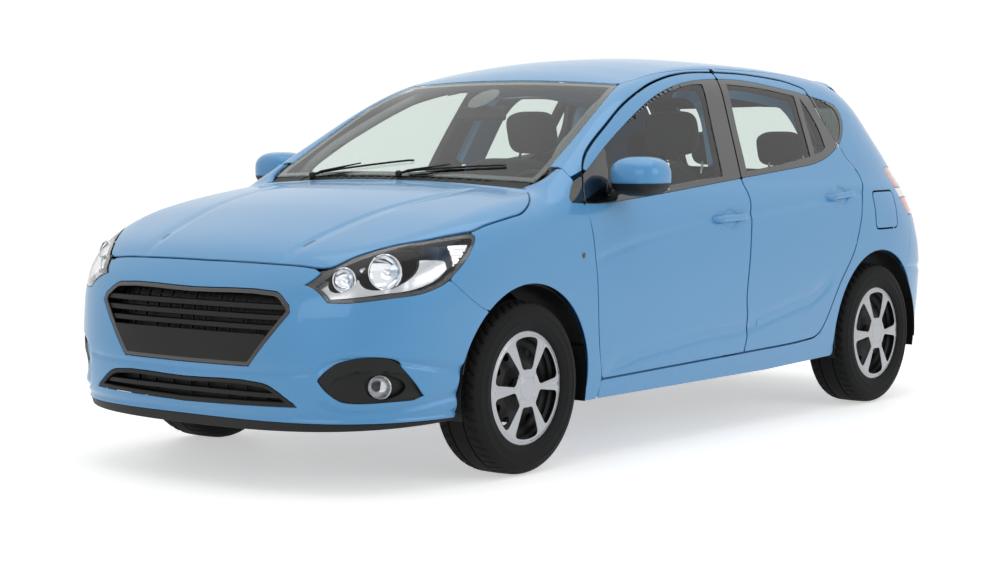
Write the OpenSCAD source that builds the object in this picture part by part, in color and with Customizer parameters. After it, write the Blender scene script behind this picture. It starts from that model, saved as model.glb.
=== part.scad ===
// Five-door hatchback car. Millimetres, +Z up, nose towards -Y, the car's left side is +X.
// The origin lies on the ground, midway between the bumpers.

/* [Body] */
// From the front bumper's nose to the front axle
front_overhang = 871; // [780:1:1045]
// Between the axles
wheelbase = 2570; // [2300:10:3084]
// From the rear axle to the rear bumper's end
rear_overhang = 689; // [575:1:830]
// Width over the doors, without the mirrors
body_width = 1700; // [1560:10:2040]
// Height of the roof's crown above the ground
body_height = 1522; // [1380:1:1826]

/* [Panels] */
// Thickness of the outer sheet with its hem
skin = 4; // [3:0.5:5]
// Shut gap around bonnet, flap and the lower doors
shut_gap = 7; // [6.5:0.5:8]
// Shut gap around the door window frames and above the tailgate
frame_gap = 8; // [7:0.5:10]
// Depth of a door below its window
door_depth = 75; // [62:1:90]
// Depth of a door's window frame
frame_depth = 44; // [36:1:52]
// Thickness of roof, tailgate and bonnet with their inner frames
lid_depth = 26; // [21:1:32]
// Thickness of the window glass
glass = 4; // [3:0.5:5]

/* [Wheels] */
// Outer radius of a tyre
tyre_radius = 310; // [270:1:340]
// Width of a tyre
tyre_width = 195; // [165:5:215]
// Radius of the rim at the bead
rim_radius = 203; // [178:1:216]
// From the car's middle to the middle of a tyre
half_track = 742; // [720:1:780]
// Free room between a tyre and the edge of its arch
arch_room = 62; // [56:1:80]
// Radius of a hub's stub axle
stub_radius = 16; // [13:0.5:20]

/* [Hinges] */
// Radius of a door hinge's pin
door_pin = 4; // [3:0.5:4.5]
// Running clearance of a pin in its bore
pin_clearance = 0.05; // [0.02:0.01:0.08]

/* [Cabin] */
// Height of the cabin floor's top
floor_top = 262; // [250:1:300]
// Width of a front seat
front_seat_width = 490; // [420:5:540]
// Radius of the steering wheel's rim
steering_radius = 182; // [165:1:200]

/* [Hidden] */
$fn = 48;

// ---- from the drawing to the real car ----
// The body is drawn once at its usual size. Its stations move with the axles and overhangs,
// its widths with the body's width and its heights with the roof.
body_length = front_overhang + wheelbase + rear_overhang;
front_axle_y = front_overhang - body_length/2;
rear_axle_y = front_axle_y + wheelbase;
DRAWN_WIDTH = 1700;
DRAWN_HEIGHT = 1522;
DRAWN_Y = [-2065, -1194, 1376, 2065];
REAL_Y = [-body_length/2, front_axle_y, rear_axle_y, body_length/2];
wide = body_width/DRAWN_WIDTH;
high = body_height/DRAWN_HEIGHT;
function px(x) = x*wide;
function pz(z) = z*high;
function py(y) = let (i = y < DRAWN_Y[1] ? 0 : y < DRAWN_Y[2] ? 1 : 2)
    REAL_Y[i] + (y - DRAWN_Y[i])*(REAL_Y[i + 1] - REAL_Y[i])/(DRAWN_Y[i + 1] - DRAWN_Y[i]);
function p3(p) = [px(p[0]), py(p[1]), pz(p[2])];
function side_points(o) = [for (p = o) [py(p[0]), pz(p[1])]];
function top_points(o) = [for (p = o) [px(p[0]), py(p[1])]];
function rear_points(o) = [for (p = o) [px(p[0]), pz(p[1])]];

// ---- smooth curves through a few points ----
function slope(t, i) = (t[i + 1][1] - t[i][1])/(t[i + 1][0] - t[i][0]);
function tangent(t, i) = i <= 0 ? slope(t, 0) : i >= len(t) - 1 ? slope(t, len(t) - 2)
    : let (a = slope(t, i - 1), b = slope(t, i)) a*b > 0 ? 2*a*b/(a + b) : 0;
function curve(t, x) =
    let (n = len(t) - 1, i = min(n - 1, max(0, len([for (p = t) if (p[0] < x) 1]) - 1)),
        h = t[i + 1][0] - t[i][0], u = (x - t[i][0])/h, a = tangent(t, i), b = tangent(t, i + 1))
    x < t[0][0] ? t[0][1] + (x - t[0][0])*a
    : x > t[n][0] ? t[n][1] + (x - t[n][0])*b
    : (2*u*u*u - 3*u*u + 1)*t[i][1] + (u*u*u - 2*u*u + u)*h*a
        + (3*u*u - 2*u*u*u)*t[i + 1][1] + (u*u*u - u*u)*h*b;
// The larger of two heights, blended over k where they meet
function soft_max(a, b, k) = let (h = max(k - abs(a - b), 0)/k) max(a, b) + h*h*k/4;
function soft_min(a, b, k) = -soft_max(-a, -b, k);

// ---- the body's outer surface ----
// Half width by height
WIDTH = [[150, 792], [220, 812], [320, 829], [480, 842], [680, 850], [830, 845], [900, 834],
    [960, 815], [1010, 790], [1100, 752], [1250, 684], [1400, 614], [1520, 556]];
// Nose and tail on the middle plane by height
NOSE = [[150, -2020], [200, -2040], [300, -2062], [430, -2065], [600, -2048], [690, -2020],
    [770, -1975], [850, -1930], [1000, -1830]];
TAIL = [[200, 2030], [300, 2050], [430, 2062], [560, 2065], [660, 2050], [740, 2022],
    [950, 1985], [1020, 1950], [1200, 1820], [1360, 1695], [1520, 1570]];
// Squareness of the rear corners by height, and of the front ones
TAIL_POWER = [[300, 4.8], [700, 4.8], [1000, 3.6], [1500, 3.4]];
NOSE_POWER = 3.4;
// Heights of bonnet and roof along the middle plane
BONNET = [[-2100, 620], [-2030, 690], [-1945, 768], [-1850, 828], [-1700, 886], [-1456, 957],
    [-1200, 1003], [-969, 1030], [-600, 1050]];
ROOF = [[-600, 1350], [-255, 1432], [-100, 1463], [50, 1490], [250, 1512], [500, 1522],
    [800, 1516], [1100, 1497], [1350, 1470], [1600, 1428], [1700, 1408], [2000, 1330]];
// How wide the blend between side and top is, along the car
SHOULDER = [[-2050, 50], [-1650, 110], [-1100, 120], [-900, 80], [-300, 80], [300, 110],
    [1400, 120], [1900, 80]];
NOSE_START = -1235;
TAIL_START = 1165;
SCREEN_FOOT = [-255, 1428, 0.555];

function half_width(z) = curve(WIDTH, z);
function corner_power(y, z) = y < 0 ? NOSE_POWER : curve(TAIL_POWER, z);
function corner_share(y, z) = y < 0
    ? max(NOSE_START - y, 0)/(NOSE_START - curve(NOSE, z))
    : max(y - TAIL_START, 0)/(curve(TAIL, z) - TAIL_START);
function top_height(x, y, b, r) = let (c = (x/600)*(x/600))
    soft_min(soft_max(b - 26*c, SCREEN_FOOT[1] + (y - SCREEN_FOOT[0])*SCREEN_FOOT[2] - 24*c, 20),
        r - 52*c, 60);
// Roughly the distance outside the surface, negative inside
function outside(x, y, z) =
    let (n = corner_power(y, z), s = corner_share(y, z),
        plan = (pow(pow(abs(x)/half_width(z), n) + pow(s, n) + 1e-12, 1/n) - 1)*850)
    soft_max(plan, z - top_height(x, y, curve(BONNET, y), curve(ROOF, y)), curve(SHOULDER, y));
// Where a rising function crosses zero between lo and hi
function crossing(f, lo, hi, n = 13) = n == 0 ? (lo + hi)/2
    : let (m = (lo + hi)/2) f(m) < 0 ? crossing(f, m, hi, n - 1) : crossing(f, lo, m, n - 1);
// The surface at depth d below the outside, looked at from the side
function side_x(y, z, d) =
    let (n = corner_power(y, z), s = pow(corner_share(y, z), n), w = half_width(z),
        b = curve(BONNET, y), r = curve(ROOF, y), k = curve(SHOULDER, y))
    crossing(function (x) soft_max((pow(pow(x/w, n) + s + 1e-12, 1/n) - 1)*850,
        z - top_height(x, y, b, r), k) + d, 0, 900);
// ... from above
function top_z(x, y, d) =
    let (h = top_height(x, y, curve(BONNET, y), curve(ROOF, y)), k = curve(SHOULDER, y))
    crossing(function (z) let (n = corner_power(y, z), s = corner_share(y, z))
        soft_max((pow(pow(abs(x)/half_width(z), n) + pow(s, n) + 1e-12, 1/n) - 1)*850,
            z - h, k) + d, 200, 1600);
// ... outwards from an upright line at y = c, towards angle a, 0 being the nose
function round_r(c, a, z, d) =
    crossing(function (r) outside(r*sin(a), c - r*cos(a), z) + d, 0, 1500);
// ... outwards from a level line across the car through y, z, towards angle a above the rear
function tail_r(o, a, x, d) =
    crossing(function (r) outside(x, o[0] + r*cos(a), o[1] + r*sin(a)) + d, 0, 1500);

// A closed slab between an outer and an inner grid of points
module slab(outer, inner) {
    rows = len(outer);
    cols = len(outer[0]);
    n = rows*cols;
    function at(i, j) = i*cols + j;
    function quad(a, b, c, d) = [[a, b, c], [a, c, d]];
    points = [for (r = concat(outer, inner)) each r];
    faces = [
        for (i = [0:rows - 2], j = [0:cols - 2])
            each quad(at(i, j), at(i, j + 1), at(i + 1, j + 1), at(i + 1, j)),
        for (i = [0:rows - 2], j = [0:cols - 2])
            each quad(n + at(i, j), n + at(i + 1, j), n + at(i + 1, j + 1), n + at(i, j + 1)),
        for (i = [0:rows - 2]) each quad(at(i, 0), at(i + 1, 0), n + at(i + 1, 0), n + at(i, 0)),
        for (i = [0:rows - 2]) each quad(n + at(i, cols - 1), n + at(i + 1, cols - 1),
            at(i + 1, cols - 1), at(i, cols - 1)),
        for (j = [0:cols - 2]) each quad(n + at(0, j), n + at(0, j + 1), at(0, j + 1), at(0, j)),
        for (j = [0:cols - 2]) each quad(at(rows - 1, j), at(rows - 1, j + 1),
            n + at(rows - 1, j + 1), n + at(rows - 1, j))];
    polyhedron(points, faces, convexity = 8);
}
function steps(a, b, cell) = let (n = max(2, ceil((b - a)/cell))) [for (i = [0:n]) a + (b - a)*i/n];
// A slab of the left side between two depths; d holds the outer and the inner depth
// Its upper edge follows high(y) where one is given.
module side_slab(ys, zs, d, cell = 94, high = undef) {
    rows = steps(ys[0], ys[1], cell);
    n = max(2, ceil((zs[1] - zs[0])/cell));
    function z(y, j) = zs[0] + ((is_undef(high) ? zs[1] : high(y)) - zs[0])*j/n;
    slab([for (y = rows) [for (j = [0:n]) p3([max(side_x(y, z(y, j), d[0]), 1), y, z(y, j)])]],
        [for (y = rows) [for (j = [0:n])
            p3([max(side_x(y, z(y, j), d[1]), 0.2) - 0.5, y, z(y, j)])]]);
}
// A slab seen from above whose side edges follow edge(y)
module fitted_slab(edge, ys, d, n, cell) {
    rows = steps(ys[0], ys[1], cell);
    slab([for (i = [-n:n]) [for (y = rows) let (x = edge(y)*i/n) p3([x, y, top_z(x, y, d[0])])]],
        [for (i = [-n:n]) [for (y = rows)
            let (x = edge(y)*i/n) p3([x, y, top_z(x, y, d[1]) - 0.5])]]);
}
module top_slab(xs, ys, d, cell = 85) {
    rows = steps(xs[0], xs[1], cell);
    cols = steps(ys[0], ys[1], cell);
    slab([for (x = rows) [for (y = cols) p3([x, y, top_z(x, y, d[0])])]],
        [for (x = rows) [for (y = cols) p3([x, y, top_z(x, y, d[1]) - 0.5])]]);
}
// A slab around a bumper. low and high give its lower and upper edge by angle.
module round_slab(c, angles, turn, low, high, d, rows = 6) {
    slab([for (a = angles) [for (j = [0:rows])
            let (z = low(a) + (high(a) - low(a))*j/rows, r = round_r(c, a + turn, z, d[0]))
            p3([r*sin(a + turn), c - r*cos(a + turn), z])]],
        [for (a = angles) [for (j = [0:rows])
            let (z = low(a) + (high(a) - low(a))*j/rows, r = round_r(c, a + turn, z, d[1]))
            p3([r*sin(a + turn), c - r*cos(a + turn), z])]]);
}
module tail_slab(o, angles, xs, d) {
    slab([for (x = xs) [for (a = angles) let (r = tail_r(o, a, x, d[0]))
            p3([x, o[0] + r*cos(a), o[1] + r*sin(a)])]],
        [for (x = xs) [for (a = angles) let (r = tail_r(o, a, x, d[1]))
            p3([x, o[0] + r*cos(a), o[1] + r*sin(a)])]]);
}
// Extrusions of outlines: through the left side, down through the top, and back through the rear
module side_cut(x0 = 300, x1 = 950) translate([px(x0), 0, 0]) rotate([90, 0, 90])
    linear_extrude(px(x1) - px(x0)) children();
module top_cut(z0 = 100, z1 = 1800) translate([0, 0, pz(z0)])
    linear_extrude(pz(z1) - pz(z0)) children();
module rear_cut(y0 = 1300, y1 = 2200) translate([0, py(y1), 0]) rotate([90, 0, 0])
    linear_extrude(py(y1) - py(y0)) children();
module both_sides() {
    children();
    mirror([1, 0, 0]) children();
}
// Sheet-metal shapes are worked out as one mesh
module sheet() resize([0, 0, 0]) children();

// Upper limits of the doors, fenders and rear quarters, and side edges of bonnet and glass
DOOR_TOP = [[-850, 1010], [-760, 1074], [-719, 1115], [-659, 1156], [-526, 1228], [-325, 1325],
    [-125, 1393], [65, 1435], [239, 1455], [428, 1460], [667, 1455], [949, 1432], [1061, 1410],
    [1105, 1397], [1300, 1380]];
FENDER_TOP = [[-1630, 722], [-1546, 800], [-1488, 879], [-1400, 900], [-1311, 913], [-1246, 923],
    [-1182, 933], [-1107, 960], [-1056, 982], [-962, 1015], [-900, 1044], [-845, 1074],
    [-817, 1088], [-720, 1090]];
QUARTER_TOP = [[400, 1530], [1400, 1530], [1500, 1448], [1600, 1366], [1700, 1246], [1800, 1124],
    [1870, 1050]];
BONNET_EDGE = [[-1945, 480], [-1904, 544], [-1839, 603], [-1729, 686], [-1630, 757], [-1488, 808],
    [-1311, 809], [-1182, 803], [-1107, 778], [-1056, 745], [-968, 666]];
SCREEN_EDGE = [[-945, 655], [-850, 658], [-730, 644], [-585, 624], [-409, 592], [-196, 534]];
function door_top(y) = curve(DOOR_TOP, y);
function quarter_top(y) = min(top_z(535, y, 0) - 1, curve(QUARTER_TOP, y));

// ---- outlines, (y, z) from the side and (x, y) from above ----
FRONT_DOOR = [[-760, 1070], [-719, 1111], [-659, 1152], [-526, 1224], [-325, 1321], [-125, 1389],
    [65, 1431], [239, 1451], [428, 1456], [304, 1013], [312, 940], [298, 869], [278, 725],
    [259, 545], [281, 405], [265, 314], [-732, 298], [-766, 442], [-796, 706], [-816, 860],
    [-826, 953]];
REAR_DOOR = [[428, 1456], [667, 1451], [949, 1428], [1061, 1406], [1105, 1393], [1137, 1273],
    [1196, 1153], [1224, 1085], [1280, 1029], [1284, 982], [1239, 914], [1196, 799], [1137, 684],
    [1021, 550], [891, 366], [807, 330], [265, 314], [281, 405], [259, 545], [278, 725],
    [298, 869], [312, 940], [304, 1013]];
FRONT_GLASS = [[-671, 978], [-618, 1048], [-564, 1160], [-335, 1255], [-142, 1329], [42, 1377],
    [197, 1401], [284, 1404], [222, 1212], [173, 1032]];
REAR_GLASS = [[366, 1046], [408, 1215], [469, 1406], [729, 1392], [978, 1362], [948, 1226],
    [920, 1102], [644, 1070]];
QUARTER_LIGHT = [[966, 1108], [990, 1226], [1021, 1352], [1053, 1299], [1079, 1221], [1076, 1140],
    [1036, 1124]];
QUARTER_WINDOW = [[1135, 1358], [1216, 1336], [1277, 1312], [1296, 1290], [1292, 1255],
    [1262, 1210], [1222, 1175], [1199, 1170], [1160, 1247]];
BONNET_OUTLINE = [[0, -1938], [245, -1933], [421, -1922], [537, -1904], [596, -1839], [679, -1729],
    [750, -1630], [801, -1488], [803, -1400], [803, -1311], [801, -1246], [797, -1182],
    [771, -1107], [738, -1056], [659, -968], [450, -976], [0, -984]];
SCREEN_OUTLINE = [[0, -250], [300, -240], [500, -214], [530, -196], [588, -409], [620, -585],
    [640, -730], [655, -850], [652, -918], [400, -932], [0, -940]];
FENDER = [[-1471, 861], [-1488, 875], [-1400, 896], [-1311, 909], [-1246, 919], [-1182, 929],
    [-1107, 956], [-1056, 978], [-962, 1011], [-900, 1040], [-845, 1070], [-817, 1085],
    [-833, 1059], [-833, 1031], [-908, 972], [-908, 957], [-826, 953], [-816, 860], [-796, 706],
    [-766, 442], [-732, 298], [-745, 225], [-900, 225], [-1194, 600], [-1429, 603],
    [-1528, 653], [-1616, 719], [-1546, 776], [-1480, 845]];
// Outline of the whole body side, less the doors, arch and lamp
SIDE = [[430, 1530], [1400, 1530], [1440, 1475], [1550, 1405], [1645, 1305], [1725, 1205],
    [1800, 1105], [1860, 1050], [1860, 1037], [1700, 1040], [1620, 1046], [1562, 1035],
    [1600, 950], [1660, 850], [1706, 829], [1690, 740], [1668, 650], [1640, 575], [1560, 400],
    [1376, 600], [1000, 240], [430, 225]];
BUMPER_SIDE = [[1600, 190], [1640, 575], [1668, 650], [1690, 740], [1706, 829], [2100, 829],
    [2100, 190]];
module outline(o, grow = 0) offset(delta = grow) polygon(side_points(o));
// The half outline of something seen from above or behind, mirrored to the other side
module from_above(o, grow = 0) offset(delta = grow)
    polygon(concat(top_points(o), [for (i = [len(o) - 1:-1:0]) [-px(o[i][0]), py(o[i][1])]]));
module from_behind(o, grow = 0) offset(delta = grow)
    polygon(concat(rear_points(o), [for (i = [len(o) - 1:-1:0]) [-px(o[i][0]), pz(o[i][1])]]));
module side_rect(y0, z0, y1, z1) polygon(side_points([[y0, z0], [y1, z0], [y1, z1], [y0, z1]]));

// ---- colours ----
PAINT = "#8fbfe6";
BLACK = "#1d1f21";
GREY = "#55585b";
STEEL = "#8a8d90";
CLEAR = "#b9c7cc";

// ---- hinges ----
DOOR_AXIS_X = px(835);
FRONT_AXIS_Y = py(-736);
REAR_AXIS_Y = py(338);
DOOR_HINGE_Z = [pz(590), pz(775)];
PIN_LENGTH = 64;
BRACKET = 14;
LUG = 10;
// The pin and its two lugs, which belong to the door
module door_pins(y) for (z = DOOR_HINGE_Z) translate([DOOR_AXIS_X, y, z]) {
    translate([0, 0, -PIN_LENGTH/2]) cylinder(r = door_pin, h = PIN_LENGTH);
    for (s = [-1, 1]) translate([-14, -5, s*(BRACKET/2 + 1 + LUG/2) - LUG/2]) cube([18, 24, LUG]);
}
// The bracket with its bore, which belongs to the pillar
module door_brackets(y, reach) for (z = DOOR_HINGE_Z) translate([DOOR_AXIS_X, y, z])
    difference() {
        union() {
            translate([-reach, -7, -BRACKET/2]) cube([reach, 14, BRACKET]);
            translate([0, 0, -BRACKET/2]) cylinder(r = 6.8, h = BRACKET);
        }
        translate([0, 0, -BRACKET]) cylinder(r = door_pin + pin_clearance, h = 2*BRACKET);
    }

// ---- doors ----
BELT = 1000;
module door_mesh(o, ys, axis, windows) sheet() difference() {
    union() {
        intersection() {
            side_slab(ys, [290, 1470], [0, skin], high = function (y) door_top(y));
            side_cut(549) intersection() {
                outline(o, -shut_gap/2);
                union() {
                    side_rect(ys[0], 200, ys[1], BELT);
                    outline(o, -frame_gap/2);
                }
            }
        }
        intersection() {
            side_slab(ys, [880, 1470], [skin - 1.5, frame_depth], 80,
                function (y) door_top(y) - 14);
            side_cut(518) difference() {
                outline(o, -20);
                side_rect(ys[0] - 50, 200, axis + 12, BELT + 80);
                side_rect(ys[0], 200, ys[1], BELT - 60);
            }
        }
        intersection() {
            side_slab(ys, [290, BELT], [skin - 1.5, door_depth], 110);
            side_cut() difference() {
                outline(o, -26);
                side_rect(ys[0] - 50, 200, axis + 12, BELT + 80);
            }
        }
        intersection() {
            side_slab(ys, [290, BELT], [door_depth - 2, door_depth + 30], 160);
            side_cut() intersection() {
                outline(o, -40);
                side_opening(-9);
                side_rect(ys[0], 200, ys[1], BELT - 70);
            }
        }
    }
    for (w = windows) side_cut() outline(w);
}
module window_mesh(ys, windows) color(CLEAR) sheet() intersection() {
    side_slab(ys, [960, 1430], [8, 8 + glass], 84, function (y) door_top(y) - 20);
    side_cut() for (w = windows) outline(w, -0.3);
}
module front_door_glass() window_mesh([-700, 300], [FRONT_GLASS]);
module rear_door_glass() window_mesh([350, 1090], [REAR_GLASS, QUARTER_LIGHT]);
module front_door() {
    door_mesh(FRONT_DOOR, [-850, 450], -736, [FRONT_GLASS]);
    door_pins(FRONT_AXIS_Y);
}
module rear_door() {
    door_mesh(REAR_DOOR, [240, 1300], 338, [REAR_GLASS, QUARTER_LIGHT]);
    door_pins(REAR_AXIS_Y);
}
module door_mirror() sheet() {
    translate(p3([934, -575, 1045])) scale([1, 0.62, 0.62]) intersection() {
        sphere(r = 92, $fn = 24);
        translate([-88, -55, -72]) cube([180, 110, 150]);
    }
    // foot on the door's skin
    intersection() {
        side_slab([-850, 450], [290, 1470], [-14, -2.6], high = function (y) door_top(y));
        side_cut() side_rect(-690, 950, -560, 996);
    }
    hull() {
        translate(p3([824, -620, 984])) cube([14, 80, 12], center = true);
        translate(p3([905, -590, 1006])) cube([60, 50, 20], center = true);
    }
}

// ---- body side ----
// The ring behind the doors that they close on
module side_opening(grow) {
    outline([[-640, 360], [210, 370], [215, 960], [250, 1030], [350, 1385], [200, 1400],
        [60, 1380], [-140, 1335], [-330, 1262], [-560, 1160], [-650, 1090], [-680, 1000]], grow);
    outline([[360, 370], [780, 385], [860, 430], [980, 590], [1080, 720], [1130, 830], [1170, 950],
        [1150, 1080], [1080, 1190], [1040, 1345], [700, 1390], [500, 1390], [405, 1030],
        [372, 960]], grow);
}
module side_mesh(flap) sheet() {
    difference() {
        union() {
            intersection() {
                side_slab([425, 1870], [220, 1530], [0, 108], high = function (y) quarter_top(y));
                side_cut(542) outline(SIDE);
            }
            // sill
            intersection() {
                side_slab([-740, 500], [220, 340], [0, 108]);
                side_cut(542) outline([[-739, 225], [-732, 298], [-700, 335], [450, 335], [450, 225]]);
            }
        }
        side_cut() outline(FRONT_DOOR, shut_gap/2);
        side_cut() outline(REAR_DOOR, shut_gap/2);
        side_cut() intersection() {
            union() {
                outline(FRONT_DOOR, frame_gap/2);
                outline(REAR_DOOR, frame_gap/2);
            }
            side_rect(-900, BELT, 1400, 1600);
        }
        side_cut() outline(QUARTER_WINDOW, 0.3);
        if (flap) side_cut(FLAP_FLOOR) flap_shape(shut_gap/2);
        arch_cut(rear_axle_y);
        rear_cut(1430) from_behind(TAILGATE, 4);
    }
    // ring at the doors' depth
    difference() {
        intersection() {
            side_slab([-720, 1320], [225, 1440], [door_depth + 8, 150], 105,
                function (y) door_top(y) - 20);
            side_cut(470) difference() {
                outline([[-700, 240], [900, 300], [1150, 600], [1290, 900], [1300, 1029],
                    [1200, 1150], [1090, 1370], [949, 1400], [428, 1425], [100, 1412], [0, 1392],
                    [0, 364], [-700, 364]]);
                side_opening(0);
            }
        }
        arch_cut(rear_axle_y, 40);
        // room for the rear door's front edge, and a flat inner face on the floor
        translate([px(835) - 86, py(240), 200]) cube([200, py(352) - py(240), pz(1080) - 200]);
        translate([0, py(-900), 200]) cube([px(690) + 0.3, py(1100) - py(-900), floor_top - 180]);
    }
    // hinge pillar
    difference() {
        intersection() {
            side_slab([-840, -640], [225, 905], [door_depth + 26, 155], 90);
            side_cut(470) side_rect(-830, 240, -672, 903);
        }
        translate([0, py(-900), 200]) cube([px(690) + 0.3, 400, floor_top - 180]);
    }
    // windscreen pillar and roof rail, one bar from the hinge pillar to the rear quarter
    for (i = [0:len(PILLAR) - 2]) hull() for (k = [i, i + 1])
        translate(p3(PILLAR[k])) cube(PILLAR_BAR, center = true);
}
PILLAR_BAR = 30;
PILLAR = [[700, -770, 885], [680, -780, 960], [617, -762, 1058], [557, -661, 1136],
    [535, -526, 1207], [506, -325, 1306], [486, -125, 1374], [485, 110, 1394],
    [485, 420, 1402], [485, 800, 1398], [485, 1060, 1378], [490, 1150, 1340]];
module arch_cut(y, more = 0) translate([px(500), y, tyre_radius]) rotate([0, 90, 0])
    cylinder(r = tyre_radius + arch_room + more, h = px(450), $fn = 40);
FLAP_FLOOR = 795;
// Flat pads under the sill for a jack
JACK_Y = [-600, 850];
JACK_Z = 212;
module body_side(flap = false) {
    side_mesh(flap);
    if (flap) flap_bracket();
    door_brackets(FRONT_AXIS_Y, 106);
    door_brackets(REAR_AXIS_Y, 106);
    for (y = JACK_Y) translate([px(735), py(y) - 35, JACK_Z]) cube([56, 70, 34]);
}

// The tailgate turns on a level axis just behind the roof
SEAM_Y = 1425;
GATE_AXIS_Y = py(SEAM_Y) + frame_gap + 40;
GATE_AXIS_Z = pz(curve(ROOF, SEAM_Y + 48)) - 21;
GATE_HINGE_X = 170;
GATE_PIN = 3.5;
module roof_panel() color(PAINT) {
    sheet() union() {
        intersection() {
            top_slab([-550, 550], [-262, 1441], [0, skin], 150);
            top_cut() offset(delta = -0.3) roof_outline(SEAM_Y);
        }
        intersection() {
            top_slab([-550, 550], [-262, 1441], [skin - 1.5, lid_depth], 150);
            top_cut() intersection() {
                offset(delta = -2) roof_outline(SEAM_Y - 30);
                square([2*px(464), 4000], center = true);
            }
        }
        // rails that stand against the sides' upper rails
        both_sides() top_slab([436, 470 - 0.3/wide], [20, 1290], [skin - 1.5, 104], 180);
    }
    translate([-260, py(SEAM_Y) - 85, GATE_AXIS_Z - 64]) cube([520, 50, 78]);
    for (x = [-GATE_HINGE_X, GATE_HINGE_X]) translate([x, GATE_AXIS_Y, GATE_AXIS_Z])
        rotate([0, 90, 0]) difference() {
            translate([0, 0, -6]) linear_extrude(12) polygon([[-6, -6], [-6, 6], [62, 6],
                [62, -90], [52, -90], [52, -6]]);
            translate([0, 0, -10]) cylinder(r = GATE_PIN + pin_clearance, h = 20);
        }
}
module roof_outline(y_end) polygon(top_points([[-538, y_end], [538, y_end], [541, -150],
    [532, -196], [500, -212], [300, -238], [0, -248], [-300, -238], [-500, -212], [-532, -196],
    [-541, -150]]));

// ---- lids ----
BONNET_AXIS = [py(-962), pz(1002)];
BONNET_HINGE_X = px(450);
BONNET_PIN = 5;
module bonnet() color(PAINT) {
    sheet() union() {
        intersection() {
            fitted_slab(function (y) curve(BONNET_EDGE, y), [-1945, -968], [0, skin], 5, 110);
            top_cut(600) from_above(BONNET_OUTLINE, -shut_gap/2);
        }
        intersection() {
            fitted_slab(function (y) curve(BONNET_EDGE, y) - 18, [-1925, -975],
                [skin - 1.5, lid_depth], 4, 140);
            top_cut(600) from_above(BONNET_OUTLINE, -26);
        }
    }
    for (s = [-1, 1]) translate([s*BONNET_HINGE_X, BONNET_AXIS[0], BONNET_AXIS[1]]) {
        rotate([0, 90, 0]) translate([0, 0, -22]) cylinder(r = BONNET_PIN, h = 44);
        for (x = [-14, 14]) translate([x - 4, -62, -16]) cube([8, 66, 18]);
    }
}
// The glass, or the seat under its lower edge, by depth
module screen_slab(d) fitted_slab(function (y) curve(SCREEN_EDGE, y), [-945, -190], d, 5, 108);
module windscreen() color(CLEAR) sheet() intersection() {
    screen_slab([1, 1 + glass]);
    top_cut(700) from_above(SCREEN_OUTLINE, -6);
}
module front_fenders() color(PAINT) both_sides() sheet() difference() {
    union() {
        intersection() {
            side_slab([-1630, -720], [220, 1090], [0, skin], high = function (y) curve(FENDER_TOP, y));
            side_cut(560) outline(FENDER, -shut_gap/2);
        }
        // blocks on the upper rail
        for (y = [-1440, -1000]) intersection() {
            side_slab([y - 30, y + 30], [780, 815], [1.5, 200]);
            translate([px(690) + 40.3, 0, 0]) translate([0, -5000, 0]) cube([400, 10000, 2000]);
        }
    }
    arch_cut(front_axle_y);
    top_cut(600) from_above(BONNET_OUTLINE, shut_gap/2);
    top_cut(600) from_above(SCREEN_OUTLINE, 2);
}

// ---- front end ----
BUMPER_EYE = -1250;
NOSE_ANGLES = [for (i = [-9:9]) 79*sin(i*10)*(1 + 0.001*abs(i))/sin(90)];
function bumper_low(a) = 205 + 32*pow(abs(a)/74, 2);
// The bumper's upper edge follows bonnet, headlamps and fenders
BUMPER_TOP = [[0, 757], [28, 755], [38, 690], [46, 652], [58, 655], [66, 690], [74, 705]];
function bumper_high(a) = curve(BUMPER_TOP, abs(a));
UPPER_GRILLE = [[0, 683], [384, 683], [452, 640], [459, 614], [304, 427], [0, 425]];
LOWER_GRILLE = [[0, 376], [362, 375], [478, 312], [492, 298], [0, 288]];
FOG_BEZEL = [[560, 392], [640, 408], [735, 408], [778, 380], [775, 330], [700, 312], [640, 318],
    [590, 350]];
FOG_LAMP = [713, 367];
FOG_RADIUS = 40;
module nose_cut(o, grow = 0) rear_cut(-2100, -1500) from_behind(o, grow);
module front_bumper() color(PAINT) sheet() difference() {
    round_slab(BUMPER_EYE, NOSE_ANGLES, 0, function (a) bumper_low(a),
        function (a) bumper_high(a), [0, skin], 5);
    nose_cut(UPPER_GRILLE);
    nose_cut(LOWER_GRILLE);
    both_sides() rear_cut(-2100, -1500) polygon(rear_points(FOG_BEZEL));
    arch_cut(front_axle_y);
    mirror([1, 0, 0]) arch_cut(front_axle_y);
    both_sides() side_cut() outline(FENDER, 0.5 - shut_gap/2);
    both_sides() side_cut(467.5) outline(HEADLAMP, 0.25);
    top_cut(700) from_above(BONNET_OUTLINE, shut_gap/2);
}
// A bar across the grille that follows the nose, z0 to z1, between two depths
module grille_bar(w, z0, z1, d0, d1) {
    xs = steps(-w, w, 160);
    function y(x, z, d) = let (s = 1 - pow(abs(x)/half_width(z), NOSE_POWER))
        NOSE_START - (NOSE_START - curve(NOSE, z))*pow(s, 1/NOSE_POWER) + d;
    slab([for (x = xs) [for (z = [z0, (z0 + z1)/2, z1]) p3([x, y(x, z, d0), z])]],
        [for (x = xs) [for (z = [z0, (z0 + z1)/2, z1]) p3([x, y(x, z, d1), z])]]);
}
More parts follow.
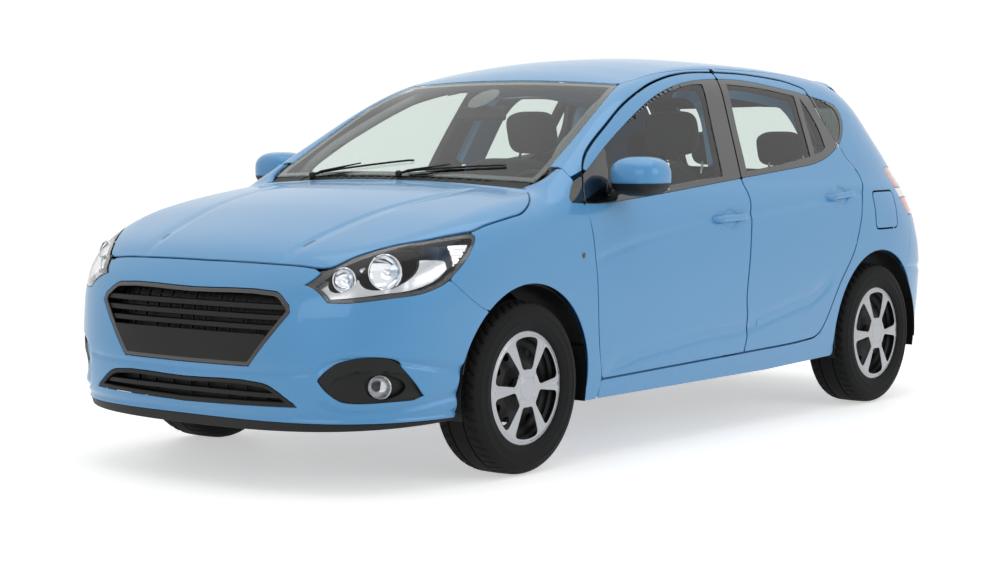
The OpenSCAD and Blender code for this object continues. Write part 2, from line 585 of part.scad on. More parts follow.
// Two depths of a grille within its outline, and the rim that holds it in the bumper
module grille_rim(o, w, z0, z1) intersection() {
    grille_bar(w, z0, z1, 0.6, 40);
    nose_cut_ring(o);
}
module nose_cut_ring(o) rear_cut(-2100, -1500) difference() {
    from_behind(o, -0.4);
    from_behind(o, -9);
}
PLATE_Y = py(-2062);
module grilles() color(BLACK) {
    sheet() union() {
        intersection() {
            union() {
                grille_bar(470, 424, 684, 34, 42);
                for (z = [560, 602, 644]) grille_bar(470, z, z + 16, 10, 39);
            }
            nose_cut(UPPER_GRILLE, -0.4);
        }
        grille_rim(UPPER_GRILLE, 470, 424, 684);
    }
    // plate holder
    translate([-px(262), PLATE_Y, pz(438)]) cube([px(524), 36, pz(112)]);
    sheet() union() {
        intersection() {
            union() {
                grille_bar(500, 287, 377, 34, 42);
                grille_bar(500, 326, 340, 12, 39);
            }
            nose_cut(LOWER_GRILLE, -0.4);
        }
        grille_rim(LOWER_GRILLE, 500, 287, 377);
    }
}
HEADLAMP = [[-1968, 706], [-1904, 762], [-1839, 799], [-1729, 837], [-1630, 855], [-1488, 875],
    [-1471, 858], [-1494, 825], [-1546, 776], [-1616, 719], [-1659, 697], [-1735, 675],
    [-1829, 664], [-1933, 649], [-1963, 651]];
module headlamps() color(CLEAR) both_sides() sheet() difference() {
    intersection() {
        round_slab(BUMPER_EYE, steps(28, 76, 5), 0, function (a) 640, function (a) 880,
            [0.5, 60], 5);
        side_cut(468) outline(HEADLAMP, -0.25);
    }
    top_cut(600) from_above(BONNET_OUTLINE, shut_gap/2);
}
module fog_lamps() color(BLACK) both_sides() {
    sheet() union() {
        intersection() {
            round_slab(BUMPER_EYE, steps(30, 66, 6), 0, function (a) 300, function (a) 420,
                [skin + 22, skin + 30], 3);
            rear_cut(-2100, -1400) offset(delta = -0.3) polygon(rear_points(FOG_BEZEL));
        }
        intersection() {
            round_slab(BUMPER_EYE, steps(30, 66, 6), 0, function (a) 300, function (a) 420,
                [0.6, skin + 25], 3);
            rear_cut(-2100, -1400) difference() {
                offset(delta = -0.4) polygon(rear_points(FOG_BEZEL));
                offset(delta = -8) polygon(rear_points(FOG_BEZEL));
            }
        }
    }
    translate(p3([FOG_LAMP[0], -1795, FOG_LAMP[1]])) rotate([90, 0, 0])
        cylinder(r = FOG_RADIUS, h = 22, center = true);
}
// ---- under the skin in front ----
RAIL_X = px(430);
module front_frame() color(STEEL) {
    both_sides() {
        translate([RAIL_X - 30, py(-1880), pz(420)])
            cube([60, py(-860) - py(-1880) - 0.3, 90]);
        // strut tower
        translate([RAIL_X - 30, front_axle_y - 70, pz(510)]) cube([60, 140, pz(300)]);
        difference() {
            translate([RAIL_X - 30, front_axle_y - 100, pz(800)])
                cube([px(695) - RAIL_X + 30, 200, 12]);
            on_king() translate([0, 0, king_length - 40])
                cylinder(r = KING_PIN + pin_clearance, h = 120);
        }
        // upper rail under the fender, with a foot on the arch liner
        translate([px(690), py(-1560), pz(772)]) cube([40, py(-830) - py(-1560) - 0.3, 50]);
        translate([px(690), front_axle_y - 10, 2*tyre_radius + arch_room - 1.2])
            cube([20, 20, pz(780) - 2*tyre_radius - arch_room]);
        // leg down to the lower arm
        translate([RAIL_X - 20, front_axle_y - 24, KING_FOOT[1] + 11.3])
            cube([40, 48, pz(425) - KING_FOOT[1] - 11.3]);
    }
    // engine mounts
    translate([290.3, py(-1400), pz(440)]) cube([RAIL_X - 310, 60, 50]);
    translate([-RAIL_X + 20, py(-1400), pz(440)]) cube([RAIL_X - 350.3, 60, 50]);
    // bumper beam and radiator support
    translate([-px(540), py(-1925), pz(440)]) cube([px(1080), 46, 110]);
    difference() {
        translate([-px(470), py(-1878), pz(260)]) cube([px(940), 26, pz(440)]);
        translate([-px(330), py(-1890), pz(320)]) cube([px(660), 60, pz(300)]);
    }
}
module engine_block() color(STEEL)
    translate([-330, py(-1560), pz(330)]) cube([620, 420, 440]);
module liner(y, x0, x1, low) color(BLACK) translate([x0, y, tyre_radius]) rotate([0, 90, 0])
    difference() {
        cylinder(r = tyre_radius + arch_room - 1.5, h = x1 - x0);
        translate([0, 0, -1]) cylinder(r = tyre_radius + arch_room - 5.5, h = x1 - x0 + 2);
        translate([low, -500, -1]) cube([500, 1000, x1 - x0 + 2]);
    }
module arch_liners() both_sides() {
    liner(front_axle_y, px(614), px(830), -80);
    liner(rear_axle_y, px(560), px(830), 40);
}
module bulkhead() color(BLACK) {
    // dash panel with the opening of the tunnel
    difference() {
        translate([-px(580), py(-860), floor_top - 22])
            cube([px(1160), 20, pz(940) - floor_top + 22]);
        translate([-px(90), py(-870), floor_top - 30]) cube([px(180), 40, 165]);
    }
    // cowl tray
    translate([-px(640), py(-972), pz(930)]) cube([px(1280), py(-840) - py(-972), 12]);
    // cowl cover with its web, and the seat of the windscreen's lower edge
    sheet() union() {
        intersection() {
            top_slab([-560, 560], [-975, -905], [12, 18], 112);
            top_cut(600) translate([-px(556), py(-951)]) square([px(1112), 40]);
        }
        intersection() {
            top_slab([-560, 560], [-975, -905], [13, 100], 112);
            top_cut(600) translate([-px(556), py(-924)]) square([px(1112), 10]);
        }
        intersection() {
            screen_slab([5.9, 22]);
            top_cut(600) translate([-px(540), py(-928)]) square([px(1080), 16]);
        }
    }
    // bonnet hinge brackets
    for (s = [-1, 1]) translate([s*BONNET_HINGE_X, BONNET_AXIS[0], BONNET_AXIS[1]])
        difference() {
            translate([-5, -8, pz(936) - BONNET_AXIS[1]])
                cube([10, 16, BONNET_AXIS[1] - pz(936) + 8]);
            rotate([0, 90, 0]) translate([0, 0, -10])
                cylinder(r = BONNET_PIN + pin_clearance, h = 20);
        }
}
// Each wiper stands on a post in the cowl and lies above the glass
WIPER_FEET = [-430, 20];
function above(x, y, d) = p3([x, y, top_z(x, y, 0) + d]);
module wipers() color(BLACK) for (x = WIPER_FEET) sheet() union() {
    translate(above(x, -943, -9.2)) cylinder(r = 5, h = 20, $fn = 16);
    hull() {
        translate(above(x, -943, 12)) cube([14, 10, 6], center = true);
        translate(above(x + 60, -930, 12)) cube([14, 10, 6], center = true);
    }
    for (i = [0:3]) hull() for (k = [i, i + 1])
        translate(above(x + 60 + 108*k, -930 + 14*k, 12)) cube([10, 8, 8], center = true);
}
// ---- rear end ----
BUMPER_TAIL = 1250;
TAIL_ANGLES = [for (i = [-9:9]) 74*sin(i*10)];
function tail_low(a) = 225 + 65*pow(abs(a)/74, 2);
function tail_high(a) = curve([[0, 655], [30, 655], [34, 700], [40, 832], [64, 832], [74, 700]],
    abs(a));
module rear_bumper() color(PAINT) sheet() difference() {
    intersection() {
        round_slab(BUMPER_TAIL, TAIL_ANGLES, 180, function (a) tail_low(a),
            function (a) tail_high(a), [0, skin], 5);
        side_cut(-950, 950) outline(BUMPER_SIDE, -0.5);
    }
    arch_cut(rear_axle_y);
    mirror([1, 0, 0]) arch_cut(rear_axle_y);
    rear_cut(1500) from_behind(TAILGATE, 4);
    translate([TOW_EYE[0], py(1900), TOW_EYE[1]]) rotate([-90, 0, 0]) cylinder(r = 22, h = 300, $fn = 24);
}
TOW_EYE = [px(430), pz(400)];
TAIL_LAMP = [[1562, 1035], [1620, 1046], [1700, 1040], [1860, 1037], [1960, 1030],
    [2040, 1000], [2040, 829],
    [1706, 829], [1660, 850], [1600, 950]];
module tail_lamps() color("#a5161c") both_sides() sheet() difference() {
    intersection() {
        round_slab(BUMPER_TAIL, [for (a = steps(102, 150, 8)) a], 0, function (a) 822,
            function (a) 1050, [0.5, 50], 4);
        side_cut(540) outline(TAIL_LAMP, -0.5);
    }
    rear_cut(1500) from_behind(TAILGATE, 4);
}
TAILGATE_EYE = [1300, 1150];
TAILGATE = [[0, 1500], [520, 1500], [540, 1400], [575, 1200], [600, 1060], [560, 1040], [555, 820],
    [600, 800], [590, 670], [0, 665]];
REAR_GLASS_OUT = [[0, 1345], [440, 1335], [500, 1180], [530, 1040], [515, 1005], [0, 990]];
TAILGATE_ANGLES = [64, 57, 50, 43, 36, 31, 26, 18, 9, 0, -9, -18, -26, -33];
TAILGATE_XS = [-650, -560, -450, -300, -150, 0, 150, 300, 450, 560, 650];
module tailgate() color(PAINT) {
    sheet() difference() {
        union() {
            intersection() {
                tail_slab(TAILGATE_EYE, TAILGATE_ANGLES, TAILGATE_XS, [0, skin]);
                rear_cut() from_behind(TAILGATE, -shut_gap/2);
                translate([-2000, py(SEAM_Y) + frame_gap, 0]) cube(4000);
            }
            intersection() {
                tail_slab(TAILGATE_EYE, TAILGATE_ANGLES, TAILGATE_XS, [skin - 1.5, lid_depth + 10]);
                rear_cut() from_behind(TAILGATE, -24);
                translate([-2000, GATE_AXIS_Y + 14, 0]) cube(4000);
            }
        }
        rear_cut(1600) from_behind(REAR_GLASS_OUT);
    }
    for (s = [-1, 1]) translate([s*GATE_HINGE_X, GATE_AXIS_Y, GATE_AXIS_Z]) {
        rotate([0, 90, 0]) translate([0, 0, -20]) cylinder(r = GATE_PIN, h = 40);
        for (x = [-12, 12]) translate([x - 4, -4, -6]) cube([8, 40, 12]);
    }
    // flat face for the rear plate
    translate([-px(266), py(1980), pz(725)]) cube([px(532), PLATE_REAR - py(1980), pz(122)]);
}
PLATE_REAR = py(2019);
module rear_window() color(CLEAR) sheet() intersection() {
    tail_slab(TAILGATE_EYE, TAILGATE_ANGLES, TAILGATE_XS, [10, 10 + glass]);
    rear_cut(1600) from_behind(REAR_GLASS_OUT, -0.3);
}
FLAP = [1443, 859];
module flap_shape(grow) offset(r = 24 + grow, $fn = 24)
    translate([py(FLAP[0]), pz(FLAP[1])]) square([160, 118], center = true);
FLAP_AXIS = [px(832), py(FLAP[0]) - 101 + 30];
FLAP_PIN = 2.5;
module fuel_flap() color(PAINT) {
    sheet() intersection() {
        side_slab([1320, 1560], [760, 960], [0, skin], 60);
        side_cut() flap_shape(-shut_gap/2);
    }
    translate([FLAP_AXIS[0], FLAP_AXIS[1], pz(FLAP[1])]) {
        translate([0, 0, -16]) cylinder(r = FLAP_PIN, h = 32);
        for (z = [-9, 9]) translate([-4, -3, z - 3]) cube([11, 12, 6]);
    }
}
module flap_bracket() translate([FLAP_AXIS[0], FLAP_AXIS[1], pz(FLAP[1])]) difference() {
    union() {
        translate([-40, -3.5, -4]) cube([40, 7, 8]);
        translate([0, 0, -4]) cylinder(r = 3.8, h = 8);
    }
    translate([0, 0, -10]) cylinder(r = FLAP_PIN + pin_clearance, h = 20);
}
module quarter_windows() color(BLACK) both_sides() sheet() intersection() {
    side_slab([1130, 1310], [1160, 1370], [2, 8]);
    side_cut() outline(QUARTER_WINDOW, 0);
}
// ---- floor ----
TUNNEL = px(90);
SHELF_Z = floor_top + 179;
SHELF_X = px(560) - 0.5;
module floor_pan() color(GREY) {
    difference() {
        union() {
            translate([-px(690), py(-840) + 0.3, floor_top - 20])
                cube([px(1380), py(714) - py(-840) - 0.3, 20]);
            translate([-TUNNEL - 15, py(-840) + 0.3, floor_top - 20])
                cube([2*TUNNEL + 30, py(714) - py(-840) - 0.3, 170]);
            // heel board
            translate([-SHELF_X, py(700), floor_top - 20]) cube([2*SHELF_X, py(714) - py(700), 213]);
        }
        translate([-TUNNEL, py(-900), floor_top - 30]) cube([2*TUNNEL, py(800) - py(-900), 165]);
    }
    // seat shelf, boot floor, rear panel and the towing socket
    translate([-SHELF_X, py(700), SHELF_Z]) cube([2*SHELF_X, py(1940) - py(700), 14]);
    difference() {
        union() {
            translate([-SHELF_X, py(1926), pz(350)]) cube([2*SHELF_X, 14, pz(300)]);
            translate([TOW_EYE[0], py(1930), TOW_EYE[1]]) rotate([-90, 0, 0])
                cylinder(r = 16, h = py(2034) - py(1930));
        }
        translate([TOW_EYE[0], py(2034) - 48, TOW_EYE[1]]) rotate([-90, 0, 0])
            cylinder(r = 8, h = 60);
    }
}
// ---- cabin ----
module dashboard() color(BLACK) {
    difference() {
        union() {
            translate([-px(640), py(-838), pz(640)]) cube([px(1280), 263, pz(262)]);
            on_column() translate([0, 0, -170]) cylinder(r = 28, h = 128);
        }
        on_column() translate([0, 0, -130]) cylinder(r = COLUMN_PIN + pin_clearance, h = 100);
    }
    // centre stack and console on the tunnel
    translate([-px(85), py(-640), floor_top + 150.3]) cube([px(170), 90, pz(660) - floor_top - 150]);
    translate([-px(85), py(-560), floor_top + 150.3]) cube([px(170), 700, 110]);
}
// A seat's back of height h that leans back, and its head rests
module seat_back(w, deep, h, heads, hw, head_height, lean) rotate([-lean, 0, 0]) {
    cube([w, deep, h]);
    for (x = heads) translate([w/2 + x, deep/2, 0]) {
        translate([-hw/2, -40, h + 34]) cube([hw, 84, head_height]);
        for (s = [-1, 1]) translate([s*45, 0, h - 10]) cylinder(r = 6, h = 60, $fn = 24);
    }
}
module front_seats() color(GREY) both_sides() translate([px(370), py(-330), floor_top]) {
    translate([-front_seat_width/2, 0, 70]) cube([front_seat_width, 500, 140]);
    translate([-front_seat_width/2 + 30, 40, 0.3]) cube([front_seat_width - 60, 400, 75]);
    translate([-front_seat_width/2, 480, 100]) seat_back(front_seat_width, 110, 740, [0], 250, 190, 14);
}
module rear_seat() color(GREY) {
    translate([-px(550), py(640), SHELF_Z + 14.3]) cube([px(1100), 470, 112]);
    translate([-px(550), py(1080), SHELF_Z + 60])
        seat_back(px(1100), 110, 560, [-360, 0, 360], 220, 150, 16);
}
// It hangs on the windscreen, on one of the rows of points of the glass
MIRROR_Y = -945 + 5*(945 - 190)/7;
module interior_mirror() color(BLACK) {
    translate(p3([0, MIRROR_Y, 1284])) cube([240, 34, 64], center = true);
    translate(p3([0, MIRROR_Y, 1284])) cylinder(r = 6, h = pz(top_z(0, MIRROR_Y, 1 + glass) - 3.4 - 1284));
}
STEERING_AT = [px(370), py(-470), pz(900)];
STEERING_TILT = -65;
COLUMN_PIN = 10;
module on_column() translate(STEERING_AT) rotate([STEERING_TILT, 0, 0]) children();
module steering_wheel() color(BLACK) on_column() {
    rotate_extrude() translate([steering_radius - 14, 0]) circle(r = 14);
    translate([0, 0, -34]) cylinder(r = 60, h = 40);
    translate([0, 0, -120]) cylinder(r = COLUMN_PIN, h = 90);
    for (a = [0, 90, 180]) rotate([0, 0, a]) translate([0, -18, -12])
        cube([steering_radius - 14, 36, 12]);
}
// ---- running gear ----
COVER_RADIUS = 219;
BEAD = tyre_width/2 - 17;
module tyre() color(BLACK) rotate([0, 90, 0]) rotate_extrude($fn = 96) polygon([
    [rim_radius, -tyre_width/2 + 8], [rim_radius + 30, -tyre_width/2 - 1],
    [tyre_radius - 34, -tyre_width/2], [tyre_radius - 10, -tyre_width/2 + 14],
    [tyre_radius, -tyre_width/2 + 34], [tyre_radius, tyre_width/2 - 34],
    [tyre_radius - 10, tyre_width/2 - 14], [tyre_radius - 34, tyre_width/2],
    [COVER_RADIUS + 8, tyre_width/2 - 2], [COVER_RADIUS + 1, BEAD + 2],
    [COVER_RADIUS + 1, BEAD], [rim_radius, BEAD - 1]]);
module stub_bore() translate([0, 0, -tyre_width])
    cylinder(r = stub_radius + pin_clearance, h = 2*tyre_width);
module wheel() color(STEEL) rotate([0, 90, 0]) difference() {
    union() {
        difference() {
            translate([0, 0, -tyre_width/2 + 8]) cylinder(r = rim_radius - 0.3, h = tyre_width/2 - 8 + BEAD);
            translate([0, 0, -tyre_width]) cylinder(r = rim_radius - 12, h = tyre_width + 38);
            translate([0, 0, 48]) cylinder(r = rim_radius - 12, h = tyre_width);
        }
        translate([0, 0, 10]) cylinder(r = 36, h = 32);
        // brake disc
        translate([0, 0, 2]) cylinder(r = 128, h = 12);
    }
    stub_bore();
}
module wheel_cover() color("silver") rotate([0, 90, 0]) translate([0, 0, BEAD + 0.3]) {
    difference() {
        cylinder(r = COVER_RADIUS, h = 10);
        translate([0, 0, -1]) cylinder(r = rim_radius - 26, h = 20);
    }
    difference() {
        cylinder(r = rim_radius - 20, h = 10);
        for (a = [0:60:300]) rotate([0, 0, a + 30]) translate([108, 0, -1])
            scale([1.35, 1, 1]) cylinder(r = 46, h = 20);
    }
}
// The steering axis leans in at its top. It runs through the lower arm and the strut's top.
KING_FOOT = [half_track - 62, 190];
KING_TOP = [half_track - 197, pz(800)];
king_lean = atan((KING_FOOT[0] - KING_TOP[0])/(KING_TOP[1] - KING_FOOT[1]));
king_length = norm(KING_TOP - KING_FOOT);
KING_PIN = 9;
module on_king() translate([KING_FOOT[0], front_axle_y, KING_FOOT[1]]) rotate([0, -king_lean, 0])
    children();
module front_knuckle() color(STEEL) {
    translate([half_track, front_axle_y, tyre_radius]) rotate([0, 90, 0]) translate([0, 0, -70])
        cylinder(r = stub_radius, h = 108);
    on_king() {
        translate([0, 0, -14]) cylinder(r = KING_PIN, h = 46);
        translate([-26, -30, 26]) cube([46, 60, 288]);
        translate([0, 0, 300]) cylinder(r = 22, h = king_length - 330);
        translate([0, 0, king_length - 40]) cylinder(r = KING_PIN, h = 62);
    }
}
module front_suspension() color(STEEL) {
    both_sides() difference() {
        translate([px(200), front_axle_y - 30, KING_FOOT[1] - 11])
            cube([KING_FOOT[0] + 24 - px(200), 60, 22]);
        on_king() translate([0, 0, -40]) cylinder(r = KING_PIN + pin_clearance, h = 80);
    }
    translate([-px(260), front_axle_y - 90, KING_FOOT[1] - 11]) cube([px(520), 240, 40]);
}
module rear_axle() color(STEEL) {
    translate([-half_track + 130, rear_axle_y - 330, 255]) cube([2*half_track - 260, 70, 60]);
    both_sides() translate([px(490), rear_axle_y - 320, 300]) cube([46, 50, SHELF_Z - 300.3]);
    both_sides() {
        translate([half_track - 175, rear_axle_y - 330, 250]) cube([45, 380, 60]);
        translate([half_track - 170, rear_axle_y - 30, 250]) cube([60, 60, 100]);
        translate([half_track - 160, rear_axle_y, tyre_radius]) rotate([0, 90, 0])
            cylinder(r = stub_radius, h = 198);
    }
}
module exhaust() color(STEEL) {
    translate([0, py(-1120), floor_top + 83]) rotate([-90, 0, 0])
        cylinder(r = 22, h = py(1650) - py(-1120));
    translate([-250, py(1620), SHELF_Z - 140.3]) cube([420, 230, 140]);
}
module fuel_tank() color(BLACK) translate([-px(480), py(722), SHELF_Z - 200.3])
    cube([px(430), py(1030) - py(722), 200]);

function corner_at(i) = [i < 2 ? front_axle_y : rear_axle_y, i % 2 == 0 ? 1 : -1];
module at_corner(i) if (i % 2 == 0) translate([half_track, corner_at(i)[0], tyre_radius]) children();
    else mirror([1, 0, 0]) translate([half_track, corner_at(i)[0], tyre_radius]) children();

floor_pan();
bulkhead();
front_frame();
color(PAINT) body_side(true);  // body_side_left
color(PAINT) mirror([1, 0, 0]) body_side();  // body_side_right
roof_panel();
front_fenders();
arch_liners();
front_bumper();
grilles();
headlamps();
fog_lamps();
engine_block();
windscreen();
wipers();
rear_bumper();
tail_lamps();
quarter_windows();
dashboard();
front_seats();
rear_seat();
interior_mirror();
front_suspension();
rear_axle();
exhaust();
fuel_tank();
bonnet();
tailgate();
rear_window();
fuel_flap();
color(PAINT) front_door();  // front_door_left
color(PAINT) mirror([1, 0, 0]) front_door();  // front_door_right
color(PAINT) rear_door();  // rear_door_left
color(PAINT) mirror([1, 0, 0]) rear_door();  // rear_door_right
front_door_glass();  // front_door_glass_left
mirror([1, 0, 0]) front_door_glass();  // front_door_glass_right
rear_door_glass();  // rear_door_glass_left
mirror([1, 0, 0]) rear_door_glass();  // rear_door_glass_right
color(PAINT) door_mirror();  // door_mirror_left
color(PAINT) mirror([1, 0, 0]) door_mirror();  // door_mirror_right
steering_wheel();
front_knuckle();  // front_knuckle_left
mirror([1, 0, 0]) front_knuckle();  // front_knuckle_right
at_corner(0) tyre();  // front_tyre_left
at_corner(1) tyre();  // front_tyre_right
at_corner(2) tyre();  // rear_tyre_left
at_corner(3) tyre();  // rear_tyre_right
at_corner(0) wheel();  // front_wheel_left
at_corner(1) wheel();  // front_wheel_right
at_corner(2) wheel();  // rear_wheel_left
at_corner(3) wheel();  // rear_wheel_right
at_corner(0) wheel_cover();  // front_wheel_cover_left
at_corner(1) wheel_cover();  // front_wheel_cover_right
at_corner(2) wheel_cover();  // rear_wheel_cover_left
at_corner(3) wheel_cover();  // rear_wheel_cover_right
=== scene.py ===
"""Five-door hatchback car: the looks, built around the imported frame. Lengths inside are millimetres
until a mesh is made; +Z is up, the nose points towards -Y and the car's left side is +X."""
import math
import numpy as np
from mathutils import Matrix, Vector
import bpy


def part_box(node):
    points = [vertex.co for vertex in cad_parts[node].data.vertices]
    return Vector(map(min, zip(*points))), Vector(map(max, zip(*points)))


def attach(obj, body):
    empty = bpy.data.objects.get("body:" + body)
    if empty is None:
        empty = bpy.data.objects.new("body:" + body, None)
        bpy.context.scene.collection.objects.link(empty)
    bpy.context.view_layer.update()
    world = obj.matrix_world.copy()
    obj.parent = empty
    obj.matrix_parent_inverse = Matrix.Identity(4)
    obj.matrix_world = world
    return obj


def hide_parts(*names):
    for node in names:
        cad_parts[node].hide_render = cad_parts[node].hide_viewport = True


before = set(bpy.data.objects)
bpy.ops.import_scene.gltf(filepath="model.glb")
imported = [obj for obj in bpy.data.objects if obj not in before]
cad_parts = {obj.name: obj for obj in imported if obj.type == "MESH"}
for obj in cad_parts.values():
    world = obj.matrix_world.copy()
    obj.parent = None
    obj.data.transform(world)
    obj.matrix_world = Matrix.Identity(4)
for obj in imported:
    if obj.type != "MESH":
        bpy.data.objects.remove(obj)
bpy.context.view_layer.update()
MM = 0.001
BODY = "body"
SIDES = ((1, "left"), (-1, "right"))


# ---- materials ----
def rgb(text, alpha=1.0):
    """Linear colour of a hex sRGB colour: each channel c/255 undone by the sRGB curve."""
    text = text.lstrip("#")
    values = [int(text[i:i + 2], 16)/255 for i in (0, 2, 4)]
    values = [v/12.92 if v <= 0.04045 else ((v + 0.055)/1.055)**2.4 for v in values]
    return (*values, alpha)


def node(tree, kind, values=None, **options):
    """Adds one shader node, sets its options and its input values, and returns it."""
    n = tree.nodes.new("ShaderNode" + kind)
    for key, value in options.items():
        setattr(n, key, value)
    for key, value in (values or {}).items():
        n.inputs[key].default_value = value
    return n


def material(name, color, rough=0.5, metal=0.0, coat=0.0, grain=None, bump=0.0, mottle=0.0,
             glass=0.0, emit=0.0, spec=0.5, sheen=0.0, tint=None, ior=1.5, alpha=1.0):
    """A principled material. grain is the size in metres of a noise on Object coordinates that
    moves roughness and, by mottle, brightness, and raises the surface by bump metres."""
    m = bpy.data.materials.new(name)
    m.use_nodes = True
    t = m.node_tree
    p = t.nodes["Principled BSDF"]
    for key, value in {"Base Color": rgb(color), "Roughness": rough, "Metallic": metal,
                       "Coat Weight": coat, "Coat Roughness": 0.03, "Transmission Weight": glass,
                       "Specular IOR Level": spec, "Sheen Weight": sheen, "IOR": ior,
                       "Alpha": alpha}.items():
        p.inputs[key].default_value = value
    if emit:
        p.inputs["Emission Color"].default_value = rgb(color)
        p.inputs["Emission Strength"].default_value = emit
    if grain:
        where = node(t, "TexCoord")
        noise = node(t, "TexNoise", {"Scale": 1/grain, "Detail": 3.0, "Roughness": 0.6})
        t.links.new(where.outputs["Object"], noise.inputs["Vector"])
        low = node(t, "MapRange", {"To Min": max(rough - 0.07, 0.02), "To Max": rough + 0.07})
        t.links.new(noise.outputs["Fac"], low.inputs["Value"])
        t.links.new(low.outputs["Result"], p.inputs["Roughness"])
        if mottle:
            mix = node(t, "MixRGB", {"Color1": rgb(color), "Color2": rgb(tint or color)})
            shade = node(t, "MapRange", {"From Min": 0.3, "From Max": 0.7, "To Max": mottle})
            t.links.new(noise.outputs["Fac"], shade.inputs["Value"])
            t.links.new(shade.outputs["Result"], mix.inputs["Fac"])
            t.links.new(mix.outputs["Color"], p.inputs["Base Color"])
        if bump:
            raised = node(t, "Bump", {"Distance": bump, "Strength": 1.0})
            t.links.new(noise.outputs["Fac"], raised.inputs["Height"])
            t.links.new(raised.outputs["Normal"], p.inputs["Normal"])
    return m


def paint_material():
    """Metallic sky-blue lacquer: a fine flake noise varies the colour under a clear coat, and
    a painted sheen turns its base colour paler where the surface is seen at a glancing angle."""
    m = material("paint", "#4c93c9", rough=0.4, metal=0.12, coat=0.6, spec=0.3)
    t = m.node_tree
    p = t.nodes["Principled BSDF"]
    where = node(t, "TexCoord")
    flake = node(t, "TexVoronoi", {"Scale": 1600.0})
    t.links.new(where.outputs["Object"], flake.inputs["Vector"])
    # painted sheen: the base colour is mixed from #4c95cb towards the paler #6fa9d6 where the surface
    # is seen at a glancing angle
    painted_sheen_facing = node(t, "LayerWeight", {"Blend": 0.35})
    mix = node(t, "MixRGB", {"Color1": rgb("#4c95cb"), "Color2": rgb("#6fa9d6")})
    t.links.new(painted_sheen_facing.outputs["Facing"], mix.inputs["Fac"])
    spark = node(t, "MixRGB", {"Fac": 0.06}, blend_type="OVERLAY")
    t.links.new(mix.outputs["Color"], spark.inputs["Color1"])
    t.links.new(flake.outputs["Color"], spark.inputs["Color2"])
    t.links.new(spark.outputs["Color"], p.inputs["Base Color"])
    return m


PAINT = paint_material()
# the body colour in one thin coat on inner panels and the underside: duller than outside
UNDER = material("under_paint", "#4a7398", rough=0.5, grain=0.004, coat=0.3)
# moulded polypropylene with a fine grain: nearly black, with a broad soft gleam
BLACK = material("black_plastic", "#0d0e0f", rough=0.5, grain=0.0012, bump=0.00012, spec=0.3)
# polished black ABS and printed glass edges: deep black with sharp reflections
GLOSS = material("gloss_black", "#08090a", rough=0.12, coat=0.8, grain=0.02)
# extruded EPDM seals: matt black
RUBBER = material("seal_rubber", "#0b0b0c", rough=0.6, grain=0.002, bump=0.0001)
# moulded tyre rubber: matt black, greyer in patches
TYRE = material("tyre_rubber", "#0c0d0e", rough=0.8, spec=0.25, grain=0.0016, bump=0.00015,
                mottle=0.5, tint="#17181a")
# silver lacquer on a moulded wheel cover: a fine bright grain under a clear coat
SILVER = material("silver_lacquer", "#a9acb0", rough=0.3, metal=0.75, coat=0.4, grain=0.0009)
# pressed steel painted black: dark, with a soft gleam
STEEL = material("dark_steel", "#101113", rough=0.5, metal=0.4, grain=0.004)
# cast iron and hot pipes: rough grey with brown in it
IRON = material("cast_iron", "#3a3c3f", rough=0.55, metal=0.8, grain=0.003, bump=0.0002,
                mottle=0.6, tint="#4c4641")
# chrome plate: a bright mirror
CHROME = material("chrome", "#e6e8ea", rough=0.07, metal=1.0, grain=0.03)
# aluminium vapour on a lamp bowl: a bright, slightly soft mirror
REFLECTOR = material("reflector", "#dfe3e8", rough=0.1, metal=1.0, grain=0.02)
# moulded polycarbonate: clear, thin and smooth
LENS = material("lamp_lens", "#ffffff", rough=0.02, glass=1.0, ior=1.25, grain=0.05)
# dark metallic lacquer on a lamp's rim
LAMP_DARK = material("lamp_bezel", "#1a1c1f", rough=0.28, metal=0.2, coat=0.6, grain=0.002)
# pale metallic lacquer inside a lamp
LAMP_GREY = material("lamp_grey", "#b9bdc1", rough=0.2, metal=0.7, coat=0.5, grain=0.004)
# acrylic moulded in red: a deep colour under a polished skin
RED = material("lamp_red", "#b80f16", rough=0.12, coat=1.0, grain=0.02)
# acrylic moulded in milky white
WHITE_LENS = material("lamp_white", "#e9edf0", rough=0.08, coat=1.0, grain=0.02)
# silvered glass
MIRROR = material("mirror_face", "#c9d2d8", rough=0.02, metal=1.0, grain=0.1)
# woven polyester: no gleam, threads that mottle it, and a faint nap
FABRIC = material("seat_cloth", "#1d1f21", rough=0.9, grain=0.0016, bump=0.0004, mottle=0.8,
                  tint="#292b2e", sheen=0.2)
# grained cabin polypropylene: dark grey and dull
TRIM = material("cabin_plastic", "#35373a", rough=0.6, grain=0.0012, bump=0.00015, mottle=0.3,
                tint="#2a2c2e")
# needled fleece: pale and quite matt
LINING = material("roof_lining", "#8f9092", rough=0.95, grain=0.002, bump=0.0002, mottle=0.4,
                  tint="#7e7f81")


